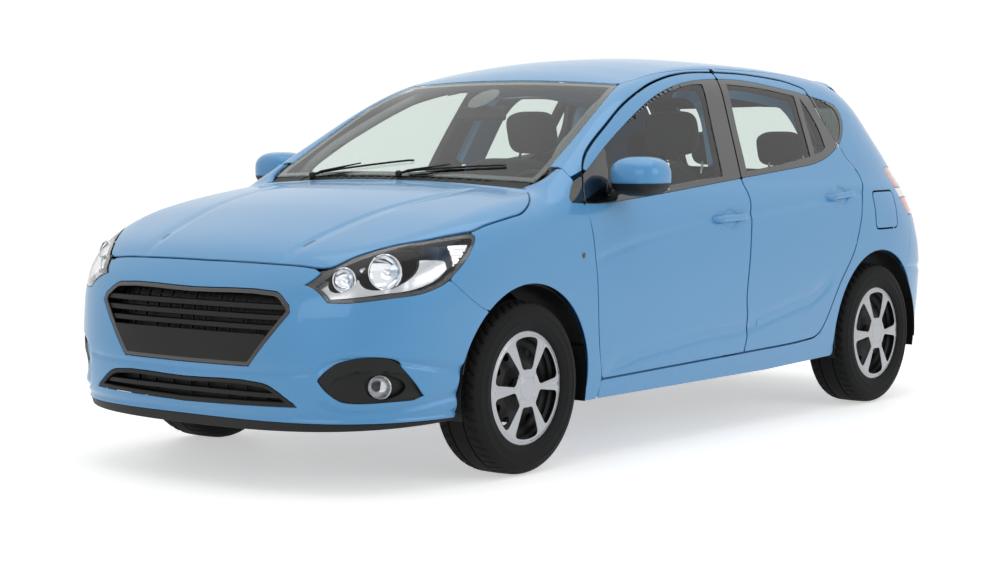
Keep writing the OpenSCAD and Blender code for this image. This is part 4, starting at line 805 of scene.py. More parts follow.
def quarter_panel(name, region, **facts):
    """The rear quarter's skin, cast outwards from one point inside it."""
    return shell(name, on(REAR_CHART, side_relief), angles(-40, 76), angles(-38, 56), region,
                 PAINT, (0, 4), slot="paint", **facts)


# only the left panel has the flap's opening, and the right one is a whole panel turned round
quarter_panel("quarter_left", all_of(quarter, less(flap_region(SHUT/2))),
              replaces=["body_side_left"])
whole_panel = quarter_panel("quarter_right", quarter)
mirrored(whole_panel, "quarter_panel_right", replaces=["body_side_right"], slot="paint")
bpy.data.objects.remove(whole_panel)
side_piece("sill_SIDE", all_of(seen(YZ, S_SILL), less(doors), above_z(226)), (-745, 520),
           (-38, -20), PAINT, (0, 4), 12, None, slot="paint")
side_piece("quarter_trim_SIDE", all_of(seen(YZ, DLO, -0.6), behind_y(1100), less(doors),
                                       less(seen(YZ, S_QUARTER))),
           (1050, 1340), (20, 50), GLOSS, (1.0, 5.0), 9, None, slot="black_plastic")
side_piece("quarter_glass_SIDE", seen(YZ, S_QUARTER, 6), (1100, 1330), (20, 50), PRIVACY,
           (5.4, 9.4), 12, None, replaces=["quarter_windows"], slot="window_glass")

# door apertures, hinge pillars and the roof rail behind the skins
RING = np.array([[-700, 240], [900, 300], [1150, 600], [1290, 900], [1300, 1029], [1200, 1150],
                 [1090, 1370], [949, 1400], [428, 1425], [100, 1412], [0, 1392], [0, 364],
                 [-700, 364]], float)
OPEN_FRONT = loop([[-640, 360], [210, 370], [215, 960], [250, 1030], [350, 1385], [200, 1400],
                   [60, 1380], [-140, 1335], [-330, 1262], [-560, 1160], [-650, 1090],
                   [-680, 1000]])
OPEN_REAR = loop([[360, 370], [780, 385], [860, 430], [980, 590], [1080, 720], [1130, 830],
                  [1170, 950], [1150, 1080], [1080, 1190], [1040, 1345], [700, 1390],
                  [500, 1390], [405, 1030], [372, 960]])
UPPER_EDGE = np.array([[-905, 1010], [-830, 1050], [-760, 1073], [-719, 1114], [-659, 1155],
                       [-526, 1227], [-325, 1324], [-125, 1392], [65, 1434], [239, 1454],
                       [428, 1459], [432, 1540], [-905, 1540]], float)
side_piece("pillar_skin_SIDE", all_of(seen(YZ, UPPER_EDGE), less(seen(YZ, S_FRONT, SHUT/2)),
                                      less(seen(YZ, S_FENDER, 0.4)), less(seen(XY, S_SCREEN, 1.5)),
                                      less(roof_zone), side_x(480),
                                      less(seen(XY, S_BONNET, SHUT/2))),
           (-910, 434), (18, 64), PAINT, (0, 4), 8, None, slot="paint")
openings = any_of(seen(YZ, OPEN_FRONT), seen(YZ, OPEN_REAR))


def hinge_room(p):
    """Room left in the middle pillar for the rear door's hinges."""
    return np.minimum.reduce([p[..., 1] - 236, 352 - p[..., 1], 1080 - p[..., 2]])


side_piece("aperture_SIDE", all_of(seen(YZ, RING), less(openings), less(arch(REAR_Y, 36)),
                                   less(hinge_room), side_x(470)),
           (-700, 1310), (-34, 56), PAINT, (84, 132), 15, None, slot="paint")
side_piece("aperture_seal_SIDE",
           all_of(seen(YZ, RING), lambda p: 9 - np.abs(openings(p) + 9), side_x(470),
                  less(hinge_room, 4)),
           (-700, 1310), (-34, 56), RUBBER, (74, 84), 9, None, slot="black_plastic")
side_piece("hinge_pillar_SIDE", all_of(behind_y(-828), ahead(-674), above_z(262), below_z(902)),
           (-836, -664), (-34, 16), PAINT, (103, 150), 14, None, slot="paint")


def tube(path, radius, ring=12, flat=1.0, up=(0, 0, 1)):
    """Points and faces of a closed tube: a circle of the given radius, or one per point, swept
    along the path, squeezed by flat across up, and capped by a fan at each end."""
    p = np.asarray(path, float)
    r = np.broadcast_to(np.asarray(radius, float), (len(p),))
    d = np.gradient(p, axis=0)
    d /= np.linalg.norm(d, axis=1, keepdims=True)
    side = np.cross(d, np.asarray(up, float))
    side /= np.linalg.norm(side, axis=1, keepdims=True) + 1e-9
    top = np.cross(side, d)
    a = np.linspace(0, 2*np.pi, ring, endpoint=False)
    ringed = (p[:, None] + r[:, None, None]*(side[:, None]*np.cos(a)[None, :, None]
                                             + flat*top[:, None]*np.sin(a)[None, :, None]))
    verts = np.vstack([ringed.reshape(-1, 3), p[:1], p[-1:]])
    n = len(p)
    faces = [[i*ring + j, i*ring + (j + 1) % ring, (i + 1)*ring + (j + 1) % ring,
              (i + 1)*ring + j] for i in range(n - 1) for j in range(ring)]
    faces += [[n*ring, (j + 1) % ring, j] for j in range(ring)]
    e = (n - 1)*ring
    faces += [[n*ring + 1, e + j, e + (j + 1) % ring] for j in range(ring)]
    return verts, faces


def path_through(points, n=40):
    """A smooth open path through the points, of about n points."""
    return smooth(points, closed=False, sharp=170, fine=max(2, n//len(points)))


def join(*parts):
    """Several (points, faces) as one mesh."""
    verts, faces, k = [], [], 0
    for v, f in parts:
        verts.append(v)
        faces += [[i + k for i in face] for face in f]
        k += len(v)
    return np.vstack(verts), faces


PILLAR = [[700, -770, 885], [680, -780, 960], [626, -762, 1058], [582, -659, 1142],
          [558, -526, 1212], [512, -325, 1308], [486, -125, 1374], [485, 110, 1394],
          [485, 420, 1402], [485, 800, 1398], [485, 1060, 1378], [490, 1150, 1340]]
twin("roof_rail_SIDE", tube(path_through(PILLAR, 60), 19, 16), LINING, slot="black_plastic")


def top_relief(p):
    """Two folds on the bonnet that run back and outwards from the grille's corners."""
    x, y = np.abs(p[..., 0]), p[..., 1]
    line = 330 + (y + 1938)*0.16
    fade = np.clip((y + 1938)/120, 0, 1)*np.clip((-990 - y)/200, 0, 1)
    t = (x - line)/46
    return 5*fade*np.where(t > 0, np.exp(-t*t*2), np.exp(-t*t*9))


bonnet = all_of(seen(XY, S_BONNET, -SHUT/2), ahead(-900))
shell("bonnet_skin", on(from_top, top_relief), steps(-812, 812, CELL), steps(-1945, -960, CELL),
      bonnet, PAINT, (0, 4), body="bonnet", replaces=["bonnet"], slot="paint")
shell("bonnet_inner", on(from_top), steps(-790, 790, 20), steps(-1930, -970, 20),
      all_of(seen(XY, S_BONNET, -26), less(lambda p: np.minimum.reduce(
          [np.abs(p[..., 0]) - 60, 560 - np.abs(p[..., 0]), p[..., 1] + 1780, -1090 - p[..., 1]]))),
      UNDER, (4.2, 24), body="bonnet", slot="paint")
shell("roof_skin", on(from_top), steps(-550, 550, CELL*1.3), steps(-256, 1435, CELL*1.3),
      all_of(seen(XY, S_ROOF, -0.6), ahead(1424.5)), PAINT, (0, 4), replaces=["roof_panel"],
      slot="paint")
shell("roof_lining", on(from_top), steps(-480, 480, 24), steps(-250, 1400, 24),
      all_of(seen(XY, S_ROOF, -70), ahead(1370)), LINING, (14, 24), slot="black_plastic")
shell("windscreen_glass", on(from_top), steps(-665, 665, 24), steps(-945, -185, 24),
      seen(XY, S_SCREEN, -1), GLASS, (0.8, 5.2), replaces=["windscreen"], slot="window_glass")
shell("windscreen_border", on(from_top), steps(-665, 665, 9), steps(-945, -185, 9),
      all_of(seen(XY, S_SCREEN, -1.5), less(seen(XY, S_SCREEN, -30))), GLOSS, (5.4, 6.6),
      edge=0.5, slot="black_plastic")
shell("mirror_shade", on(from_top), steps(-70, 70, 8), steps(-480, -300, 8),
      lambda p: 58 - np.hypot(p[..., 0], (p[..., 1] + 392)*0.8), GLOSS, (5.4, 6.8), edge=0.5,
      slot="black_plastic")
cowl = all_of(lambda p: 640 - np.abs(p[..., 0]), behind_y(-980), ahead(-915),
              less(seen(XY, S_BONNET, 2)), less(seen(XY, S_SCREEN, 2)))
shell("cowl", on(from_top, lambda p: 3*(np.sin(p[..., 0]/7) > 0)*(np.abs(p[..., 0]) < 480)),
      steps(-660, 660, 5), steps(-990, -900, 7), cowl, BLACK, (5, 10), slot="black_plastic")

# front bumper, grilles and lamps
NOSE_CHART = around(BUMPER_EYE)
DAM_TOP, VALANCE_TOP, LAMP_BAND = 244, 300, (908, 952)


def nose_angle(p):
    """Degrees round the bumper's eye from straight ahead, positive on the left."""
    return np.degrees(np.arctan2(p[..., 0], -(p[..., 1] - BUMPER_EYE)))


def nose_region(outline, grow=0.0):
    """An outline seen from ahead, on the front of the nose only."""
    return all_of(seen(XZ, outline, grow), ahead(-1450))


def ahead_point(x, z, depth):
    """The point of the nose straight ahead at (x, z), depth below the outside."""
    return reach(np.array([x, BUMPER_EYE, z], float), np.array([0.0, -1, 0]),
                 np.array(float(depth)))


fogs = any_of(nose_region(S_FOG), nose_region(S_FOG*[-1, 1]))
lamps = all_of(seen(YZ, S_LAMP, 0.25), side_x(467.5))


def nose_relief(p):
    """A fold along the lip, one above the lower grille, and a hollow round each fog lamp."""
    x, z = np.abs(p[..., 0]), p[..., 2]
    lip = 7*np.exp(-((z - 262)/10)**2)
    brow = 6*np.exp(-((z - 404 - 10*(x/500)**2)/9)**2)*np.clip((560 - x)/60, 0, 1)
    r = np.hypot((x - 690)/150, (z - 372)/92)
    curl = 9*np.exp(-((r - 1)/0.10)**2)*(p[..., 1] < -1500)*np.clip((x - 545)/40, 0, 1)
    return lip + brow + curl


bumper = all_of(lambda p: p[..., 2] - 207 - 32*(nose_angle(p)/74)**2, below_z(768),
                lambda p: (80 - np.abs(nose_angle(p)))*12,
                less(nose_region(S_GRILLE)), less(nose_region(S_LOWER)), less(fogs),
                less(arch(FRONT_Y)), less(seen(YZ, S_FENDER, 0.5)), less(lamps),
                less(seen(XY, S_BONNET, SHUT/2)))
shell("front_bumper_skin", on(NOSE_CHART, nose_relief), angles(-82, 82), steps(196, 774, CELL*0.7),
      all_of(bumper, above_z(DAM_TOP)), PAINT, (0, 4), replaces=["front_bumper"], slot="paint")
shell("front_air_dam", on(NOSE_CHART, lambda p: 4 + 0*p[..., 0]), angles(-82, 82, 14),
      steps(196, 252, 6), all_of(bumper, below_z(DAM_TOP - 1)), BLACK, (0, 5), slot="black_plastic")
for name, outline, z0, z1, slats, ribs, back in (
        ("upper", S_GRILLE, 415, 695, (560, 595, 630), np.arange(-420, 421, 60), 74),
        ("lower", S_LOWER, 280, 386, (332,), np.arange(-440, 441, 88), 66)):
    region = nose_region(outline, -1)
    grid = (angles(-42, 42, 8, 790), steps(z0, z1, 6))
    shell(f"{name}_grille_rim", on(NOSE_CHART), *grid,
          all_of(region, less(nose_region(outline, -17))), GLOSS if name == "upper" else BLACK,
          (1, 40), edge=4, replaces=["grilles"], slot="black_plastic")
    inner = nose_region(outline, -14)
    shell(f"{name}_grille_slats", on(NOSE_CHART), *grid,
          all_of(inner, lambda p, s=slats: np.maximum.reduce([9 - np.abs(p[..., 2] - z)
                                                             for z in s])),
          BLACK, (9, 44), edge=3, slot="black_plastic")
    shell(f"{name}_grille_ribs", on(NOSE_CHART), angles(-42, 42, 2.2, 790), steps(z0, z1, 8),
          all_of(inner, lambda p, s=ribs: np.maximum.reduce([2.2 - np.abs(p[..., 0] - x)
                                                            for x in s])),
          BLACK, (34, 42), edge=1.5, slot="black_plastic")
    shell(f"{name}_grille_mesh", on(NOSE_CHART, lambda p: 2*(np.sin(p[..., 2]/3.2) > 0)),
          angles(-42, 42, 12, 790), steps(z0, z1, 5), inner, BLACK, (back - 20, back - 12),
          slot="black_plastic")


def box_mesh(low, high, bevel=3.0, n=4):
    """A block from low to high with its edges rounded: a cube's grid pushed out to a rounded
    box, corner by corner, and closed."""
    low, high = np.asarray(low, float), np.asarray(high, float)
    c, h = (low + high)/2, (high - low)/2
    bevel = min(bevel, h.min()*0.98)
    a = np.linspace(0, np.pi/2, n)
    off = np.concatenate([-np.cos(a), np.cos(a)[::-1]])
    sign = np.sign(off + 1e-12*np.concatenate([-np.ones(n), np.ones(n)]))
    m, index, verts, faces = 2*n, {}, [], []

    def vertex(ijk):
        if ijk not in index:
            e = off[list(ijk)]
            index[ijk] = len(verts)
            verts.append(c + sign[list(ijk)]*(h - bevel) + bevel*e/max(np.linalg.norm(e), 1e-9))
        return index[ijk]
    for axis in range(3):
        for end in (0, m - 1):
            for i in range(m - 1):
                for j in range(m - 1):
                    q = []
                    for p in ((i, j), (i + 1, j), (i + 1, j + 1), (i, j + 1)):
                        ijk = [0, 0, 0]
                        ijk[axis], ijk[(axis + 1) % 3], ijk[(axis + 2) % 3] = end, *p
                        q.append(vertex(tuple(ijk)))
                    faces.append(q if end else q[::-1])
    return np.array(verts), faces


def block(name, low, high, mat, bevel=3.0, **facts):
    """A rounded box as a piece."""
    return add(name, *box_mesh(low, high, bevel), mat, **facts)


def bowl(centre, axis, r0, r1, depth, n=40, rings=9, wall=2.0):
    """A reflector: radius r0 at its mouth and r1 at its floor, deep along -axis, a parabola in
    between, closed by a second skin wall thick behind the first."""
    axis = np.asarray(axis, float)/np.linalg.norm(axis)
    u = np.cross(axis, [0, 0, 1.0])
    u /= np.linalg.norm(u)
    w = np.cross(axis, u)
    a = np.linspace(0, 2*np.pi, n, endpoint=False)
    rows = []
    for k in range(rings):
        t = k/(rings - 1)
        rows.append((r0 + (r1 - r0)*t, -depth*(1 - (1 - t)**2)))
    profile = rows + [(0.01, -depth)] + [(0.01, -depth - wall)] + [
        (r + wall, d - wall) for r, d in rows[::-1]]
    pts = np.array([[np.asarray(centre) + r*(np.cos(t)*u + np.sin(t)*w) + d*axis for t in a]
                    for r, d in profile]).reshape(-1, 3)
    m = len(profile)
    faces = [[i*n + j, ((i + 1) % m)*n + j, ((i + 1) % m)*n + (j + 1) % n, i*n + (j + 1) % n]
             for i in range(m) for j in range(n)]
    return pts, faces


def lathe(profile, origin, axis, n=64):
    """A closed profile of (radius, height along axis) turned about the axis."""
    axis = np.asarray(axis, float)/np.linalg.norm(axis)
    u = np.cross(axis, [0, 0, 1.0] if abs(axis[2]) < 0.9 else [1.0, 0, 0])
    u /= np.linalg.norm(u)
    w = np.cross(axis, u)
    a = np.linspace(0, 2*np.pi, n, endpoint=False)
    p = np.asarray(profile, float)
    pts = (np.asarray(origin, float) + p[:, 0, None, None]*(np.cos(a)[:, None]*u
           + np.sin(a)[:, None]*w)[None] + p[:, 1, None, None]*axis).reshape(-1, 3)
    m = len(p)
    faces = [[i*n + j, i*n + (j + 1) % n, ((i + 1) % m)*n + (j + 1) % n, ((i + 1) % m)*n + j]
             for i in range(m) for j in range(n)]
    area = 0.5*sum(p[i, 0]*p[(i + 1) % m, 1] - p[(i + 1) % m, 0]*p[i, 1] for i in range(m))
    return pts, ([f[::-1] for f in faces] if area > 0 else faces)


shell("front_plate_carrier", on(NOSE_CHART, lambda p: 2.5*(np.abs(p[..., 2] - 430) < 3)),
      angles(-30, 30, 8, 790), steps(420, 550, 5), all_of(nose_region(S_GRILLE, -15),
                                                        below_z(538)), BLACK, (1.5, 14),
      edge=3, slot="black_plastic")

# fog lamps
FOG_X, FOG_Z, FOG_R = 713, 367, 40


def fog_hollow(p):
    """The bezel sinks by up to 26 mm towards the lamp."""
    r = np.hypot((p[..., 0] - 705)/105, (p[..., 2] - 366)/58)
    return 26*np.clip(1 - r, 0, 1)**0.6


twin_shell("fog_bezel_SIDE", on(NOSE_CHART, fog_hollow), angles(36, 82, 7, 830),
           steps(300, 486, 6), all_of(nose_region(S_FOG, 0.6), less(arch(FRONT_Y)),
                                      less(disc(XZ, (FOG_X, FOG_Z), FOG_R))),
           BLACK, (3, 22), edge=3, replaces=["fog_lamps"], slot="black_plastic")
twin_shell("fog_back_SIDE", on(NOSE_CHART), angles(34, 84, 9, 830), steps(296, 492, 9),
           all_of(nose_region(S_FOG, 7), less(arch(FRONT_Y))), BLACK, (34, 40),
           slot="black_plastic")
fog_at = ahead_point(FOG_X, FOG_Z, 12)
fog_way = (0.42, -0.9, 0)
fog_glass = [(0.01, 7), (16, 6), (30, 3.5), (38, 0), (39, -2), (37, -4), (30, -0.5), (16, 2),
             (0.01, 3)]
twin("fog_reflector_SIDE", bowl(fog_at, fog_way, 39, 12, 26), LAMP_GREY, slot="silver")
twin("fog_lens_SIDE", lathe(fog_glass, fog_at, fog_way, 48), LENS, slot="lamp_clear")

# headlamps
lamp_region = all_of(seen(YZ, S_LAMP, -0.8), side_x(468), less(seen(XY, S_BONNET, SHUT/2)))
lamp_inner = all_of(seen(YZ, S_LAMP, -10), side_x(478), less(seen(XY, S_BONNET, SHUT/2 + 9)))
LAMPS = (((690, 748), 58, 30), ((590, 722), 40, 24))
lamp_grid = (angles(28, 78, 6, 830), steps(636, 884, 5))
lamp_way = np.array([0.30, -0.95, 0.05])
bowls = any_of(*[disc(XZ, at, r) for at, r, _ in LAMPS])


def bezel_relief(p):
    """The bezel falls away backwards, and has a groove outside the larger bowl."""
    return 14*np.clip((p[..., 1] + 1960)/200, 0, 1) + 4*np.exp(-((p[..., 0] - 745)/12)**2)


twin_shell("headlamp_lens_SIDE", on(NOSE_CHART), *lamp_grid, lamp_region, LENS, (0.2, 3.4),
           edge=1.2, replaces=["headlamps"], slot="lamp_clear")
twin_shell("headlamp_bezel_SIDE", on(NOSE_CHART, bezel_relief), *lamp_grid,
           all_of(lamp_inner, less(bowls, 1), ahead(-1590)), LAMP_GREY, (20, 34),
           slot="black_plastic")
twin_shell("headlamp_rim_SIDE", on(NOSE_CHART), *lamp_grid,
           all_of(lamp_region, less(lamp_inner, -1)), LAMP_DARK, (3.6, 34), edge=0.8,
           slot="black_plastic")
twin_shell("headlamp_wedge_SIDE", on(NOSE_CHART, lambda p: 2.5*np.abs(np.sin(p[..., 2]/6))),
           *lamp_grid, all_of(lamp_inner, behind_y(-1586)), CHROME, (12, 22), slot="silver")
for k, ((x, z), r, d) in enumerate(LAMPS):
    at = ahead_point(x, z, 26)
    lip = [(r + 4, 1), (r + 4, -5), (r - 2, -5), (r - 2, 1), (r + 1, 3)]
    bulb = bowl(at - lamp_way*d*0.5, lamp_way, 11, 3, 8, 24, 5)
    twin(f"headlamp_reflector{k}_SIDE", join(bowl(at, lamp_way, r + 2, 14, d),
                                             lathe(lip, at, lamp_way, 48), bulb),
         REFLECTOR, slot="silver")

# wipers
def on_screen(x, y, lift):
    """The point lift above the outside over (x, y)."""
    return reach(np.array([x, y, 200.0]), np.array([0, 0, 1.0]), np.array(-float(lift)), 1700)


for k, x in enumerate((-430, 20)):
    arm = [on_screen(x + 8 + 15*i, -941 + 4.5*i, 13 if i > 1 else 9) for i in range(14)]
    blade = [on_screen(x + 30 + 19*i, -926 + 3.4*i, 7 if 0 < i < 22 else 5) for i in range(23)]
    knob = on_screen(x, -943, 2)
    add(f"wiper_{k}", *join(tube(arm, np.linspace(9, 4.5, 14), 10, 0.6),
                            tube(blade, 5, 8, 0.8),
                            lathe([(0.01, 16), (9, 15), (12, 9), (12, -6), (0.01, -6)], knob,
                                  (0, -0.3, 1), 24)),
        BLACK, replaces="wipers", slot="black_plastic")

# rear bumper, tailgate and tail lamps
TAIL_CHART = around(BUMPER_TAIL)


def tail_angle(p):
    """Degrees round the bumper's eye from straight astern, the same on both sides."""
    return np.degrees(np.arctan2(np.abs(p[..., 0]), p[..., 1] - BUMPER_TAIL))


TOW_HOLE = disc(XZ, (430, 400), 20)
rear = all_of(lambda p: p[..., 2] - 226 - 65*(tail_angle(p)/74)**2, seen(YZ, BUMPER_LINE, -0.5),
              lambda p: (74 - tail_angle(p))*12, less(arch(REAR_Y)), less(gate),
              below_z(831), less(all_of(TOW_HOLE, behind_y(1700))))
tail_zone = all_of(seen(YZ, S_TAIL_LAMP), side_x(540))


def tail_relief(p):
    """A fold across the bumper: a bell of depth along a line that rises with x squared."""
    z = p[..., 2]
    return 6*np.exp(-((z - 575 - 8*(p[..., 0]/700)**2)/10)**2)


shell("rear_bumper_skin", on(TAIL_CHART, tail_relief), angles(106, 254), steps(215, 834, CELL),
      all_of(rear, less(tail_zone), above_z(VALANCE_TOP)), PAINT, (0, 4), replaces=["rear_bumper"],
      slot="paint")
shell("rear_valance", on(TAIL_CHART, lambda p: 3 + 0*p[..., 0]), angles(106, 254, 16),
      steps(215, 304, 8), all_of(rear, below_z(VALANCE_TOP - 1)), BLACK, (0, 5), slot="black_plastic")
GATE_CHART = behind(*GATE_EYE)


def gate_relief(p):
    """A spoiler lip that stands out over the glass, the plate's recess, and a fold above it."""
    x, y, z = p[..., 0], p[..., 1], p[..., 2]
    lip = -15*np.clip((z - 1350)/60, 0, 1)**2*np.clip((y - 1436)/40, 0, 1)
    plate = 9*np.clip((272 - np.abs(x))/8, 0, 1)*np.clip((62 - np.abs(z - 786))/8, 0, 1)
    fold = 4*np.exp(-((z - 935)/14)**2)
    return lip + plate + fold


gate_grid = (steps(-612, 612, CELL), angles(-36, 66, None, 600))
gate_skin = all_of(seen(XZ, S_GATE, -SHUT/2), behind_y(SEAM_Y + FRAME_GAP))
shell("tailgate_skin", on(GATE_CHART, gate_relief), *gate_grid,
      all_of(gate_skin, less(seen(XZ, S_BACKLIGHT))), PAINT, (0, 4), flip=True,
      body="tailgate", replaces=["tailgate"], slot="paint")
shell("tailgate_inner", on(GATE_CHART), steps(-600, 600, 20), angles(-34, 62, 20, 600),
      all_of(seen(XZ, S_GATE, -30), behind_y(SEAM_Y + 44), less(seen(XZ, S_BACKLIGHT, -8))),
      TRIM, (4.4, 24), flip=True, body="tailgate", slot="black_plastic")
shell("rear_glass", on(GATE_CHART), steps(-560, 560, 22), angles(-30, 62, 22, 600),
      seen(XZ, S_BACKLIGHT, 7), GLASS, (4.2, 8.2), flip=True, body="tailgate",
      replaces=["rear_window"], slot="window_glass")
shell("rear_glass_border", on(GATE_CHART), steps(-560, 560, 9), angles(-30, 62, 9, 600),
      all_of(seen(XZ, S_BACKLIGHT, -0.8), less(seen(XZ, S_BACKLIGHT, -24))), GLOSS, (2.4, 4.0),
      flip=True, edge=0.5, body="tailgate", slot="black_plastic")
block("gate_handle", (-150, 2002, 853), (150, 2017, 880), BLACK, 6, body="tailgate",
      slot="black_plastic")

tail_lamp = all_of(seen(YZ, S_TAIL_LAMP, -0.6), side_x(541), less(gate))
tail_grid = (angles(100, 152, 8, 800), steps(820, 1052, 7))
for name, test, mat, slot in (
        ("red", any_of(above_z(LAMP_BAND[1]), below_z(LAMP_BAND[0])), RED, "lamp_red"),
        ("white", all_of(above_z(LAMP_BAND[0] + 1), below_z(LAMP_BAND[1] - 1)), WHITE_LENS,
         "lamp_clear")):
    twin_shell(f"tail_lamp_{name}_SIDE",
               on(TAIL_CHART, lambda p: 1.2*np.abs(np.sin(p[..., 2]/9))), *tail_grid,
               all_of(tail_lamp, test), mat, (0.3, 24), edge=2.5, replaces=["tail_lamps"],
               slot=slot)

# fuel flap
shell("flap_skin", on(SIDE_CHART, side_relief), steps(1325, 1560, 10), angles(2, 22, 8),
      flap_region(-SHUT/2), PAINT, (0, 4), body="fuel_flap", replaces=["fuel_flap"],
      slot="paint")
shell("flap_pocket", on(SIDE_CHART), steps(1325, 1560, 14), angles(2, 22, 12),
      flap_region(10), BLACK, (46, 52), slot="black_plastic")


# ---- handles and mirrors ----
def pillow(centre, half_size, power=5.0, n=16, crown=0.0, grooves=(), tilt=0.0, back=None,
           low=None):
    """A closed cushion: a cube's grid p drawn in to p/(|px|^k + |py|^k + |pz|^k)^(1/k) and
    scaled. Its upper (+z) face rises by crown (1 - x^2)(1 - y^2), grooves are (axis, place,
    depth, width) channels in that face, and tilt turns it about x in degrees. back and low
    hold it in front of a plane and under a level, in its own millimetres from the centre."""
    h = np.asarray(half_size, float)
    t = np.sin(np.linspace(-1, 1, n)*np.pi/2*0.92)/math.sin(np.pi/2*0.92)
    verts, faces, index = [], [], {}
    grid = list(range(n))
    for axis in range(3):
        for end in (0, n - 1):
            for i in grid[:-1]:
                for j in grid[:-1]:
                    q = []
                    for a, b in ((i, j), (i + 1, j), (i + 1, j + 1), (i, j + 1)):
                        k = [0, 0, 0]
                        k[axis], k[(axis + 1) % 3], k[(axis + 2) % 3] = end, a, b
                        k = tuple(k)
                        if k not in index:
                            index[k] = len(verts)
                            verts.append([t[m] for m in k])
                        q.append(index[k])
                    faces.append(q if end else q[::-1])
    p = np.array(verts)
    p = p/((np.abs(p)**power).sum(1)**(1/power))[:, None]
    rise = crown*(1 - p[:, 0]**2)*(1 - p[:, 1]**2)*(p[:, 2] > 0)*np.abs(p[:, 2])
    q = p*h
    q[:, 2] += rise
    for axis, place, depth, wide in grooves:
        q[:, 2] -= depth*np.exp(-((q[:, axis] - place)/wide)**2)*(p[:, 2] > 0.3)
    if back is not None:
        q[:, 1] = np.minimum(q[:, 1], back)
    if low is not None:
        q[:, 2] = np.minimum(q[:, 2], low)
    a = math.radians(tilt)
    turn = np.array([[1, 0, 0], [0, math.cos(a), -math.sin(a)], [0, math.sin(a), math.cos(a)]])
    return q @ turn.T + np.asarray(centre, float), faces


def surface(y, z, depth):
    """The point of the side at (y, z), depth below it."""
    return reach(np.array([0, y, z], float), np.array([1.0, 0, 0]), np.array(float(depth)))


for which, a, b in (("front", (10, 866), (261, 869)), ("rear", (932, 927), (1176, 941))):
    path = []
    for t in np.linspace(0, 1, 25):
        lift = 3 + 25*min(1.0, math.sin(math.pi*t)*2.1)**0.8
        path.append(surface(a[0] + (b[0] - a[0])*t, a[1] + (b[1] - a[1])*t, -lift + 9))
    size = 13*np.clip(np.sin(np.pi*np.linspace(0.06, 0.94, 25))*2.6, 0.55, 1)
    twin(f"{which}_handle_SIDE", tube(path, size, 18, 0.45, (1, 0, 0)), PAINT, angle=60,
         body=f"{which}_door_SIDE", slot="paint")

MIRROR_AT = (914, -608, 1050)
MIRROR_ARM = path_through([(800, -622, 986), (838, -612, 996), (880, -596, 1014)], 12)
twin("mirror_cap_SIDE", pillow(MIRROR_AT, (108, 98, 73), 2.7, 26, back=55), PAINT, angle=50,
     body="front_door_SIDE", replaces=["door_mirror_SIDE"], slot="paint")
twin("mirror_base_SIDE",
     join(pillow(MIRROR_AT, (109.5, 99.5, 74.5), 2.7, 26, back=56, low=-26),
          tube(MIRROR_ARM, np.linspace(22, 15, len(MIRROR_ARM)), 16, 0.6)),
     BLACK, angle=50, body="front_door_SIDE", slot="black_plastic")
twin("mirror_glass_SIDE", box_mesh(np.add(MIRROR_AT, (-88, 53, -50)),
                                   np.add(MIRROR_AT, (88, 58.5, 50)), 2.6),
     MIRROR, body="front_door_SIDE", slot="silver")
twin("side_repeater_SIDE", pillow(surface(-875, 766, 0), (4, 11, 11), 2.2, 12), GLOSS,
     slot="lamp_clear")


# ---- wheels ----
def tyre_mesh(centre, n=288):
    """A tyre turned about the x axis: sidewalls with two ribs, three grooves round the tread
    6 mm deep, and slanted cuts across both shoulders, 48 to the round."""
    w = TYRE_W/2
    prof = [(205, -w + 9), (212, -w + 3), (222, -w + 0.5), (236, -w - 0.8), (238, -w - 2),
            (240, -w - 2), (242, -w - 0.6), (256, -w), (266, -w + 0.6), (268, -w - 0.6),
            (271, -w - 0.6), (273, -w + 1), (284, -w + 4), (293, -w + 8), (299, -w + 13),
            (303, -w + 19), (306, -w + 27), (308, -w + 36)]
    xs = [-58, -50, -44, -38.5, -37.5, -30.5, -29.5, -22, -14, -5.2, -4.4, 4.4, 5.2, 14, 22,
          29.5, 30.5, 37.5, 38.5, 44, 50, 58]
    mid = [(309.6 - (6.5 if any(abs(x - c) < 4.2 for c in (-34, 0, 34)) else 0)
            - 1.2*(x/58)**2, x) for x in xs]
    right = [(r, -x) for r, x in prof[::-1]]
    p = np.array(prof + mid + right + [(203.6, 79), (203.6, -79)])
    a = np.linspace(0, 2*np.pi, n, endpoint=False)
    r, x = p[:, :1] + 0*a, p[:, 1:] + 0*a
    phase = (a[None]*48/(2*np.pi) + np.sign(x)*x/60) % 1
    cut = (np.abs(x) > 44) & (np.abs(x) < 84) & (phase < 0.2) & (r > 296)
    r = r - 5*cut
    c = np.asarray(centre, float)
    pts = np.stack([c[0] + x, c[1] + r*np.sin(a), c[2] + r*np.cos(a)], -1).reshape(-1, 3)
    m = len(p)
    faces = [[((i + 1) % m)*n + j, ((i + 1) % m)*n + (j + 1) % n, i*n + (j + 1) % n, i*n + j]
             for i in range(m) for j in range(n)]
    return pts, faces


